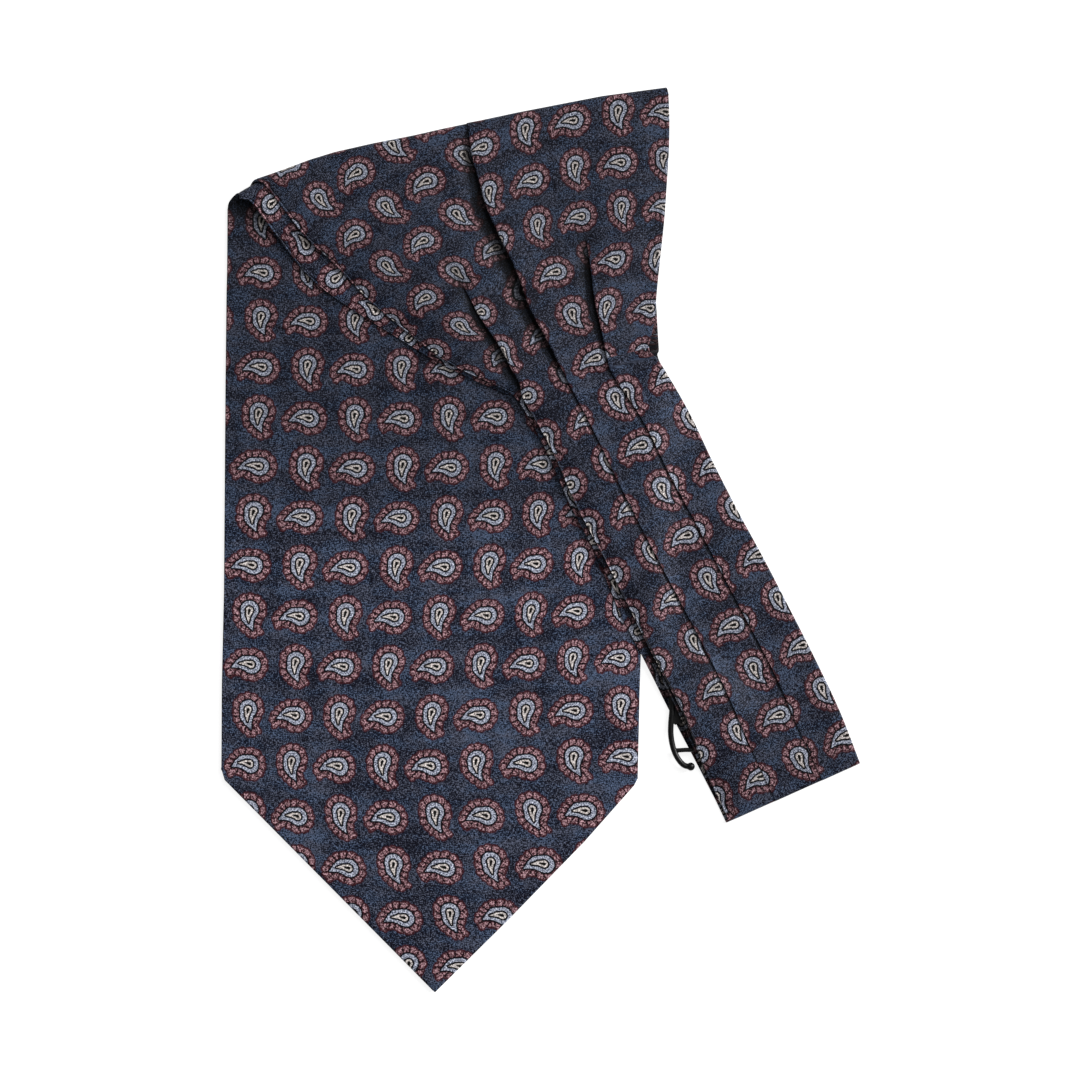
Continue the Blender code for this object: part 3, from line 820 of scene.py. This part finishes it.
def upper_half_rows(prints):
    """The pleated upper half, from the top fold to the turn at the neckband's end."""

    def printed(x, y, gores, along):
        place = np.zeros((len(x), 2))
        for gore, maps in enumerate(prints):
            mine = gores == gore
            place[mine] = print_at(maps, x[mine], y[mine], along)
        return place

    def surface(along):
        across, shift, level, inner, gores, tone, heading = pleated_columns(along)
        x, y = folded_line(UPPER_SECTIONS, along, across)
        base = upper_half_base(x, y)
        relief = upper_relief(x, y, along)
        px, py = x + shift * heading[0], y + shift * heading[1]
        sink = edge_sink(UPPER_SINK, along, distance_from_first(x, y))
        sink = sink * (1.0 - tab_swell(x, y) / SWELL)
        top = base + WALL + level + relief - sink * UPPER_SINK_OUTSIDE
        bottom = base + inner + np.minimum(relief, 0.0) - sink * UPPER_SINK_INSIDE
        middle = base + WALL / 2.0 + np.maximum(level, 0.0)
        return np.stack([px, py, top], -1), np.stack([x, y, bottom], -1), x, y, middle, gores, tone

    rows = []
    outside, inside, x, y, high, gores, tone = surface(0.0)
    low = np.full_like(x, HIDDEN_BLADE_Z + WALL / 2.0)
    # The roll opens towards its left end, where its inside shows, darkened with painted shade.
    nearness = np.exp(-((distance_from_first(x, y) / ROLL_SKEW_REACH) ** 2))
    fold = half_turn(x, y, low, high, TOP_FOLD_HEADING, ROLL_ROWS)
    for step, (outside, inside, cloth) in enumerate(fold):
        turn = step / ROLL_ROWS
        aside = ((1.0 - turn) * nearness)[:, None] * (*ROLL_SKEW, 0.0)
        closed = smooth_step((turn - PAINTED_ROLL_SHADE_TURN) / PAINTED_ROLL_SHADE_BLEND)
        shade = tone * (1.0 - PAINTED_ROLL_SHADE * (1.0 - closed) * nearness)
        place = printed(*moved(x, y, TOP_FOLD_HEADING, cloth), gores, 0.0)
        rows.append((outside + aside, inside + aside, place, shade))
    for along in row_positions():
        outside, inside, x, y, high, gores, tone = surface(along)
        rows.append((outside, inside, printed(x, y, gores, along), tone))
    end = half_turn(x, y, low, high, END_TURN_HEADING, ROLL_ROWS)
    for outside, inside, cloth in end[::-1]:
        place = printed(*moved(x, y, END_TURN_HEADING, cloth), gores, along)
        rows.append((outside, inside, place, tone))
    return rows


def under_half_rows():
    """The plain under half, from the top fold to the neckband's end."""
    strip, band = panel_print(STRIP_PANEL), panel_print(UNDER_BAND, bends=False)
    spread = np.linspace(0.0, 1.0, UNDER_COLUMNS) ** UNDER_CROWDING
    x, y = folded_line(UNDER_SECTIONS, 0.0, spread)
    width = math.hypot(x[-1] - x[0], y[-1] - y[0])
    near, heights = seam_columns(width)
    across = np.concatenate([near, spread[spread > near[-1]]])
    seam = np.concatenate([heights, np.zeros(len(across) - len(near))])
    x, y = folded_line(UNDER_SECTIONS, 0.0, across)
    low = np.full_like(x, FRONT_BLADE_Z + WALL / 2.0)
    high = under_half_base(x, y) + WALL / 2.0
    tone = np.full_like(x, UNDER_TONE_AND_SHADE[0][1])
    sliver = smooth_step((across - SLIVER_FROM) / SLIVER_BLEND)
    rows = []
    for outside, inside, cloth in half_turn(x, y, low, high, TOP_FOLD_HEADING, ROLL_ROWS):
        rows.append((outside, inside, strip(*moved(x, y, TOP_FOLD_HEADING, cloth)), tone))
    for along in row_positions():
        x, y = folded_line(UNDER_SECTIONS, along, across)
        base = under_half_base(x, y)
        place = print_at((strip, (band, STRIP_TO_BAND)), x, y, along)
        place = place + sliver[:, None] * SLIVER_SHIFT
        # The sliver, and the under half where it shows beside the ledge, get painted shade.
        tone = 1.0 - (1.0 - read_off(SLIVER_PAINTED_SHADE, along)) * sliver
        tone *= read_off(UNDER_TONE_AND_SHADE, along)
        from_edge = distance_from_first(x, y)
        thin = EDGE_THIN * (1.0 - smooth_step(from_edge / EDGE_THIN_REACH)) * smooth_step(along)
        sink = edge_sink(UNDER_SINK, along, from_edge) * smooth_step(base - UNDER_SINK_INSIDE)
        outside = np.stack([x, y, base + WALL + seam - thin - sink * UNDER_SINK_OUTSIDE], -1)
        inside = np.stack([x, y, base - sink * UNDER_SINK_INSIDE], -1)
        rows.append((outside, inside, place, tone))
    return rows


def blade_rows(underside, inset, seed, wave_below):
    """A flat pointed blade, from its cut end up to the top fold.

    inset is how much smaller it is on each side, and wave_below how high its underside waves.
    """
    table_across, table_x, table_y = np.array(BLADE_POINT).T
    even = np.linspace(0.0, 1.0, BLADE_COLUMNS)
    across = np.unique(np.concatenate([even, table_across, CORNER_COLUMNS]))
    side = inset * (1.0 - 2.0 * across)
    lines = [(np.interp(across, table_across, table_x), np.interp(across, table_across, table_y) + inset)]
    lines += [line_between(ends, across) for ends in BLADE_SECTIONS]
    fold_x = np.interp(across, (0.0, 1.0), (BLADE_CORNER[0][0], TOP_FOLD[-1][0]))
    lines.append((fold_x, np.maximum(read_off(TOP_FOLD, fold_x), read_off(BLADE_CORNER, fold_x))))
    rows = []
    for (x0, y0), (x1, y1) in zip(lines, lines[1:]):
        count = max(int(np.ceil((y1 - y0).max() / BLADE_ROW_STEP)), 1)
        for step in range(count):
            part = step / count
            rows.append((x0 + (x1 - x0) * part, y0 + (y1 - y0) * part))
    rows.append(lines[-1])
    made = []
    for x, y in rows:
        wave = waves(x, y, BLADE_WAVE_LENGTH, seed)
        top = underside + WALL + BLADE_WAVE_HEIGHT * wave
        bottom = np.maximum(underside + wave_below * wave, underside)
        outside = np.stack([x + side, y, top], -1)
        inside = np.stack([x + side, y, bottom], -1)
        # The blade gets painted shade in the hollow under the fold's corner.
        tone = read_off(BLADE_TONE, y) * (1.0 - mound(x, y, PAINTED_BLADE_SHADE))
        made.append((outside, inside, blade_print(x, y), tone))
    return made


# ---------- meshes


def add_object(name, data):
    made = bpy.data.objects.new(name, data)
    bpy.context.scene.collection.objects.link(made)
    return made


def add_shell(name, rows, material, ends):
    """A closed shell through rows of (outside, inside, print, tone), with rounded rims.

    ends says whether the first and the last row are free edges, and so rounded too. The lining
    has the print of the face, seen from its own side.
    """
    outside, inside, face_print, tone = (np.array(values) for values in zip(*rows))
    lining_print = face_print * (-1.0, 1.0)
    height, width = outside.shape[:2]
    index = np.arange(height * width).reshape(height, width)
    quads = np.stack([index[:-1, :-1], index[:-1, 1:], index[1:, 1:], index[1:, :-1]], -1)
    quads = quads.reshape(-1, 4)
    rim = np.concatenate([index[0], index[1:, -1], index[-1, -2::-1], index[-2:0:-1, 0]])
    points = [outside.reshape(-1, 3), inside.reshape(-1, 3)]
    prints = [face_print.reshape(-1, 2), lining_print.reshape(-1, 2)]
    tones = [tone.ravel(), tone.ravel()]
    rows_at, columns_at = np.divmod(rim, width)
    upper, lower = outside[rows_at, columns_at], inside[rows_at, columns_at]
    inner_row = np.clip(rows_at, 1 if ends[0] else 0, height - 2 if ends[1] else height - 1)
    inner_column = np.clip(columns_at, 1, width - 2)
    middle = (outside + inside) / 2.0
    away = middle[rows_at, columns_at] - middle[inner_row, inner_column]
    away[:, 2] = 0.0
    length = np.linalg.norm(away, axis=1, keepdims=True)
    away = np.where(length > NO_LENGTH, away / np.maximum(length, NO_LENGTH), 0.0)
    rings = [rim]
    total = 2 * height * width
    for down, out in RIM_PROFILE:
        points.append(upper + (lower - upper) * down + away * out)
        prints.append(face_print[rows_at, columns_at] + (down * WALL / CELL_WIDTH, 0.0))
        tones.append(tone[rows_at, columns_at])
        rings.append(total + np.arange(len(rim)))
        total += len(rim)
    rings.append(rim + height * width)
    faces = [quads, quads[:, ::-1] + height * width]
    for ring, below in zip(rings, rings[1:]):
        after, below_after = np.roll(ring, -1), np.roll(below, -1)
        faces.append(np.stack([ring, below, below_after, after], -1))
    mesh = bpy.data.meshes.new(name)
    points = np.concatenate(points) * MM
    faces = np.concatenate(faces)
    mesh.from_pydata(points.tolist(), [], faces.tolist())
    shade = np.concatenate(tones)
    # The tone map holds how light the cloth is painted, painted shade included.
    for layer, values in (("print", np.concatenate(prints)), ("tone", np.stack([shade, shade], -1))):
        corner_values = values[faces.reshape(-1)].astype(np.float32).ravel()
        mesh.uv_layers.new(name=layer).data.foreach_set("uv", corner_values)
    mesh.shade_smooth()
    mesh.materials.append(material)
    mesh.validate()
    cleaner = bmesh.new()
    cleaner.from_mesh(mesh)
    bmesh.ops.recalc_face_normals(cleaner, faces=cleaner.faces)
    cleaner.to_mesh(mesh)
    cleaner.free()
    return add_object(name, mesh)


def loft(rings):
    """A closed solid through rings of points."""
    mesh = bmesh.new()
    rings = [[mesh.verts.new(point) for point in ring] for ring in rings]
    mesh.faces.new(rings[0])
    mesh.faces.new(rings[-1])
    for ring, next_ring in zip(rings, rings[1:]):
        for index in range(len(ring)):
            after = (index + 1) % len(ring)
            mesh.faces.new([ring[index], ring[after], next_ring[after], next_ring[index]])
    bmesh.ops.recalc_face_normals(mesh, faces=mesh.faces)
    return mesh


def plate(outline, thickness):
    half = thickness / 2.0
    return loft([[(x, y, HOOK_Z + side) for x, y in outline] for side in (-half, half)])


def bar(path, radius):
    """A round bar along a smooth curve through a path."""
    last = len(path) - 1
    places = np.linspace(0.0, last, last * BAR_ROWS_PER_SPAN + 1)
    points = np.array([section(path, along) for along in places])
    headings = np.gradient(points, axis=0)
    headings /= np.linalg.norm(headings, axis=1)[:, None]
    turns = [2.0 * math.pi * side / BAR_SIDES for side in range(BAR_SIDES)]
    rings = []
    for (x, y), (head_x, head_y) in zip(points, headings):
        sides = [(radius * math.cos(turn), HOOK_Z + radius * math.sin(turn)) for turn in turns]
        rings.append([(x - head_y * aside, y + head_x * aside, z) for aside, z in sides])
    return loft(rings)


def ball(x, y, radius):
    mesh = bmesh.new()
    bmesh.ops.create_uvsphere(mesh, u_segments=BALL_SIDES, v_segments=BALL_RINGS, radius=radius)
    bmesh.ops.translate(mesh, verts=mesh.verts, vec=(x, y, HOOK_Z))
    return mesh


def add_hook(material):
    """The hook as one moulding, with its bars blended into the plate."""
    whole = bmesh.new()
    parts = (
        plate(TAB_OUTLINE, TAB_THICKNESS),
        plate(GUSSET_OUTLINE, GUSSET_THICKNESS),
        bar(HOOK_ARM, HOOK_ARM_RADIUS),
        bar(HOOK_BRIDGE, HOOK_BRIDGE_RADIUS),
        ball(*HOOK_ARM[-1], HOOK_BALL_RADIUS),
    )
    rough = bpy.data.meshes.new("hook_rough")
    for part in parts:
        part.to_mesh(rough)
        part.free()
        whole.from_mesh(rough)
    whole.to_mesh(rough)
    whole.free()
    source = add_object("hook_source", rough)
    remesh = source.modifiers.new("fuse", "REMESH")
    remesh.mode = "VOXEL"
    remesh.voxel_size = HOOK_VOXEL
    soften = source.modifiers.new("soften", "SMOOTH")
    soften.iterations = HOOK_SMOOTHING
    graph = bpy.context.evaluated_depsgraph_get()
    mesh = bpy.data.meshes.new_from_object(source.evaluated_get(graph))
    bpy.data.objects.remove(source)
    mesh.transform(Matrix.Scale(MM, 4))
    mesh.materials.clear()
    mesh.materials.append(material)
    mesh.shade_smooth()
    return add_object("hook_moulding", mesh)


# ---------- materials


def colour(red, green, blue):
    """A display colour, 0 to 255, as the linear colour that a shader takes."""
    parts = []
    for value in (red, green, blue):
        share = value / 255.0
        parts.append(share / 12.92 if share <= 0.04045 else ((share + 0.055) / 1.055) ** 2.4)
    return (*parts, 1.0)


def fill(node, inputs):
    """Set inputs, by name or number, to numbers or colours, or link fields or sockets to them."""
    for name, value in inputs.items():
        value = getattr(value, "socket", value)
        if isinstance(value, bpy.types.NodeSocket):
            node.id_data.links.new(value, node.inputs[name])
        else:
            node.inputs[name].default_value = value


def add_node(tree, kind, inputs, **settings):
    node = tree.nodes.new("ShaderNode" + kind)
    for name, value in settings.items():
        setattr(node, name, value)
    fill(node, inputs)
    return node


class Field:
    """A number over a surface. Arithmetic on it adds math nodes to its tree."""

    def __init__(self, socket):
        self.socket = socket
        self.tree = socket.id_data

    def math(self, operation, *others):
        inputs = dict(enumerate((self, *others)))
        return Field(add_node(self.tree, "Math", inputs, operation=operation).outputs[0])

    def __add__(self, other):
        return self.math("ADD", other)

    def __sub__(self, other):
        return self.math("SUBTRACT", other)

    def __mul__(self, other):
        return self.math("MULTIPLY", other)

    def __truediv__(self, other):
        return self.math("DIVIDE", other)

    def __neg__(self):
        return self.math("MULTIPLY", -1.0)

    def flipped(self):
        """1 where self is 0 and 0 where it is 1."""
        return -self + 1.0

    def mixed(self, other, share):
        """self where share is 0 and other where it is 1."""
        return self + (other - self) * share

    def remapped(self, low, high, to_low, to_high, curve="LINEAR"):
        ends = {"From Min": low, "From Max": high, "To Min": to_low, "To Max": to_high}
        inputs = {"Value": self, **ends}
        node = add_node(self.tree, "MapRange", inputs, interpolation_type=curve)
        return Field(node.outputs["Result"])

    def stepped(self, low, high):
        """0 up to low and 1 from high, smoothly."""
        return self.remapped(low, high, 0.0, 1.0, "SMOOTHSTEP")


def length_of(x, y):
    return (x * x + y * y).math("SQRT")


def noise_at(x, y, scale_x, scale_y, detail, offset):
    """Noise between 0 and 1 with its own scale each way, in features per millimetre."""
    place = add_node(x.tree, "CombineXYZ", {0: x * scale_x + offset, 1: y * scale_y})
    inputs = {"Vector": place.outputs[0], "Scale": 1.0, "Detail": detail}
    return Field(add_node(x.tree, "TexNoise", inputs, noise_dimensions="2D").outputs["Fac"])


def capsule(x, y, start, end):
    """How far outside a tapered capsule a point lies, in mm, and below 0 inside it.

    start and end are the centres and radii of its round ends: (x, y, radius).
    """
    length = math.hypot(end[0] - start[0], end[1] - start[1])
    ahead_x, ahead_y = (end[0] - start[0]) / length, (end[1] - start[1]) / length
    dx, dy = x - start[0], y - start[1]
    along = dx * ahead_x + dy * ahead_y
    aside = (dx * ahead_y - dy * ahead_x).math("ABSOLUTE")
    slope = (start[2] - end[2]) / length
    flat = math.sqrt(1.0 - slope * slope)
    reach = along * flat - aside * slope
    side = aside * flat + along * slope - start[2]
    near_end = length_of(along, aside) - start[2]
    far_end = length_of(along - length, aside) - end[2]
    beyond = side.mixed(far_end, reach.math("GREATER_THAN", length * flat))
    return near_end.mixed(beyond, reach.math("GREATER_THAN", 0.0))


def drop(x, y, spots):
    """How far outside a drop drawn as round spots and the tapers between them a point lies."""
    joined = capsule(x, y, spots[0], spots[1])
    for start, end in zip(spots[1:], spots[2:]):
        joined = joined.math("SMOOTH_MIN", capsule(x, y, start, end), DROP_MELT)
    return joined


def mix_colour(share, first, second):
    inputs = {0: share, 6: first, 7: second}
    return add_node(share.tree, "Mix", inputs, data_type="RGBA").outputs[2]


def shaded(share, shades):
    """From the first of two display colours, where share is 0, to the second."""
    return mix_colour(share, *(colour(*shade) for shade in shades))


def painted(paint, inner, outside, line, before=EDGE, after=EDGE):
    """Another paint over this one up to a line, with outside as the distance to measure by."""
    return mix_colour(outside.stepped(line - before, line + after), inner, paint)


def map_fields(tree, name):
    """The two numbers of a UV map."""
    place = add_node(tree, "UVMap", {}, uv_map=name)
    split = add_node(tree, "SeparateXYZ", {0: place.outputs["UV"]})
    return Field(split.outputs[0]), Field(split.outputs[1])


def bump(height, strength, distance):
    inputs = {"Height": height, "Strength": strength, "Distance": distance}
    return add_node(height.tree, "Bump", inputs).outputs[0]


def new_material(name):
    material = bpy.data.materials.new(name)
    material.use_nodes = True
    return material, material.node_tree, material.node_tree.nodes["Principled BSDF"]


def silk_material():
    """Printed silk twill: a mottled navy ground with rows of ringed paisleys."""
    material, tree, shader = new_material("printed_silk_twill")
    u, v = map_fields(tree, "print")
    cloth_x, cloth_y = u * CELL_WIDTH, v * CELL_LENGTH
    cloth = {name: noise_at(cloth_x, cloth_y, *row) for name, row in CLOTH_NOISE.items()}

    # Each cell holds one motif, and every other one is turned a quarter.
    column = (u + (0.5 + CELL_SHIFT / CELL_WIDTH)).math("FLOOR")
    row = (v + (0.5 + CELL_SHIFT / CELL_LENGTH)).math("FLOOR")
    ragged, ragged_too = cloth["ragged"] - 0.5, cloth["ragged_too"] - 0.5
    local_x = (u - column) * CELL_WIDTH + MOTIF_X + ragged * RAGGEDNESS
    local_y = (v - row) * CELL_LENGTH + MOTIF_Y + ragged_too * RAGGEDNESS
    turned = (column + row).math("FLOORED_MODULO", 2.0)
    x = local_x.mixed(local_y, turned)
    y = local_y.mixed(-local_x, turned)

    blue, cream, core = (drop(x, y, spots) for spots in (BLUE_DROP, CREAM_DROP, CORE_DROP))
    curl = length_of(x - TAIL_CURL[0], y - TAIL_CURL[1]) + (PETAL_REACH - TAIL_CURL[2])
    ring = blue.math("SMOOTH_MIN", curl, RING_MELT)

    # Petals are cut from the ring by lines that point at its middle, and turned a little
    # further from one motif to the next.
    across, up = (x - PETAL_CENTRE[0]) / PETAL_STRETCH, y - PETAL_CENTRE[1]
    turn = up.math("ARCTAN2", across) * (PETALS / (2.0 * math.pi))
    turn = turn + (column * PETAL_TURN[0] + row * PETAL_TURN[1] + ragged * PETAL_RAGGEDNESS)
    petal = (turn + WHOLE_TURNS).math("FRACT")
    from_middle = (petal - 0.5).math("ABSOLUTE") * 2.0
    from_line = from_middle.flipped() * length_of(across, up) * (math.pi / PETALS)
    rim = ring + from_middle * from_middle * from_middle * SCALLOP

    fine = noise_at(cloth_x - cloth_y, cloth_x + cloth_y, *DIAGONAL_NOISE)
    twill = ((cloth_x - cloth_y) * (2.0 * math.pi / TWILL_STEP)).math("SINE")
    grain = fine * 0.45 + cloth["warp"] * 0.25 + cloth["weft"] * 0.3
    patch = (cloth["bands"] - 0.5) * 0.2 + (cloth["stripes"] - 0.5) * 0.13
    light = (grain + patch).stepped(0.478, 0.583)
    greyness = (cloth["hue"] - patch * 1.2).stepped(0.36, 0.60)
    ground = mix_colour(greyness, shaded(light, BLUE_GROUND), shaded(light, GREY_GROUND))

    # A petal is lightest in its middle.
    from_rim = from_line.math("MINIMUM", blue - BLUE_LINE).math("MINIMUM", -rim + PETAL_REACH)
    flecks = cloth["flecks"] * 0.6 + fine * 0.4
    flecks = flecks + (from_rim.stepped(0.05, 0.7) - 0.5) * 0.07
    petals = shaded(flecks.stepped(0.42, 0.68), PETAL_REDS)
    blues = shaded(cloth["threads"].stepped(0.34, 0.68), DROP_BLUES)
    creams = shaded(cloth["threads"].stepped(0.32, 0.62), DROP_CREAMS)

    paint = painted(ground, colour(*MAROON), rim, OUTLINE_REACH, 0.15, 0.5)
    paint = painted(paint, petals, rim, PETAL_REACH, EDGE * 1.5)
    between = from_line.stepped(PETAL_LINE - EDGE, PETAL_LINE + EDGE).flipped()
    paint = mix_colour(between * rim.math("LESS_THAN", PETAL_REACH), paint, colour(*PETAL_GAP))
    paint = painted(paint, colour(*DARK), blue, BLUE_LINE)
    paint = painted(paint, blues, blue, 0.0)
    paint = painted(paint, colour(*DARK), cream, CREAM_LINE)
    paint = painted(paint, creams, cream, 0.0)
    paint = painted(paint, colour(*CORE), core, 0.0)

    # The threads catch the light unevenly, over the ground and the motifs alike, and the tone map
    # makes stretches of the cloth darker or lighter and paints shade down in its folds, under lips and in
    # hollows.
    thread = (grain - 0.5) * 3.8 + twill * 0.12 + 1.0
    shade = thread * map_fields(tree, "tone")[0]
    tint = add_node(tree, "VectorMath", {0: paint, "Scale": shade}, operation="SCALE")
    looks = {
        "Base Color": tint.outputs[0],
        "Roughness": grain.remapped(0.3, 0.7, 0.5, 0.62),
        "Normal": bump(twill * 0.3 + grain * 1.2, 0.3, 0.0001),
        "Specular IOR Level": 0.1,
        "Sheen Weight": 0.01,
        "Sheen Roughness": 0.4,
    }
    fill(shader, looks)
    return material


def plastic_material():
    """Moulded black plastic with a faint orange-peel skin."""
    material, tree, shader = new_material("moulded_black_plastic")
    place = add_node(tree, "TexCoord", {}).outputs["Object"]
    skin = add_node(tree, "TexNoise", {"Vector": place, "Scale": 900.0, "Detail": 2.0})
    value = Field(skin.outputs["Fac"])
    looks = {
        "Base Color": shaded(value, PLASTIC_BLACKS),
        "Roughness": value.remapped(0.3, 0.7, 0.34, 0.46),
        "Normal": bump(value, 0.1, 0.00005),
        "Specular IOR Level": 0.2,
    }
    fill(shader, looks)
    return material


def floor_material():
    material, _, shader = new_material("pale_floor")
    looks = {
        "Base Color": (FLOOR_GREY, FLOOR_GREY, FLOOR_GREY, 1.0),
        "Emission Color": WHITE,
        "Emission Strength": FLOOR_GLOW,
        "Roughness": 0.8,
        "Specular IOR Level": 0.1,
    }
    fill(shader, looks)
    return material


# ---------- the scene


def add_camera():
    data = bpy.data.cameras.new("camera")
    data.lens = LENS
    data.sensor_width = SENSOR
    camera = add_object("camera", data)
    distance = VIEW_WIDTH * LENS / SENSOR
    camera.location = (VIEW_X * MM, 0.0, (distance + FRONT_BLADE_Z) * MM)
    data.clip_start, data.clip_end = NEAREST, FARTHEST
    bpy.context.scene.camera = camera


def add_light(name, location, size, power):
    data = bpy.data.lights.new(name, "AREA")
    data.shape = "SQUARE"
    data.size = size
    data.energy = power
    light = add_object(name, data)
    light.location = location
    light.rotation_mode = "QUATERNION"
    light.rotation_quaternion = Vector(location).to_track_quat("Z", "Y")


def add_studio():
    mesh = bpy.data.meshes.new("floor")
    square = ((-1, -1), (1, -1), (1, 1), (-1, 1))
    mesh.from_pydata([(x * FLOOR_REACH, y * FLOOR_REACH, 0.0) for x, y in square], [], [(0, 1, 2, 3)])
    mesh.materials.append(floor_material())
    floor = add_object("floor", mesh)
    floor.location = (0.0, 0.0, FLOOR_Z)
    for light in LIGHTS:
        add_light(*light)
    world = bpy.data.worlds.new("studio")
    world.use_nodes = True
    fill(world.node_tree.nodes["Background"], {"Color": WHITE, "Strength": WORLD_STRENGTH})
    bpy.context.scene.world = world
    bpy.context.scene.view_settings.view_transform = "Standard"


def corners(box):
    return [list(corner) for corner in box]


def build_scene():
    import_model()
    silk = silk_material()
    front_rows = blade_rows(FRONT_BLADE_Z, 0.0, FRONT_BLADE_SEED, FRONT_BLADE_LIFT)
    front_blade = add_shell("front_blade_shell", front_rows, silk, (True, False))
    hidden_rows = blade_rows(HIDDEN_BLADE_Z, HIDDEN_BLADE_INSET, HIDDEN_BLADE_SEED, 0.0)
    hidden_blade = add_shell("hidden_blade_shell", hidden_rows, silk, (True, False))
    under_half = add_shell("under_half_shell", under_half_rows(), silk, (False, False))
    upper_half = add_shell("upper_half_shell", upper_half_rows(gore_prints()), silk, (False, False))
    hook = add_hook(plastic_material())
    pieces = (
        (front_blade, "front_blade", "printed_silk"),
        (hidden_blade, "hidden_blade", "printed_silk"),
        (under_half, "under_half", "printed_silk"),
        (upper_half, "upper_half", "printed_silk"),
        (hook, "hanger_hook", "black_plastic"),
    )
    for piece, node, slot in pieces:
        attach(piece, "root")
        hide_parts(node)
    add_studio()
    add_camera()


build_scene()
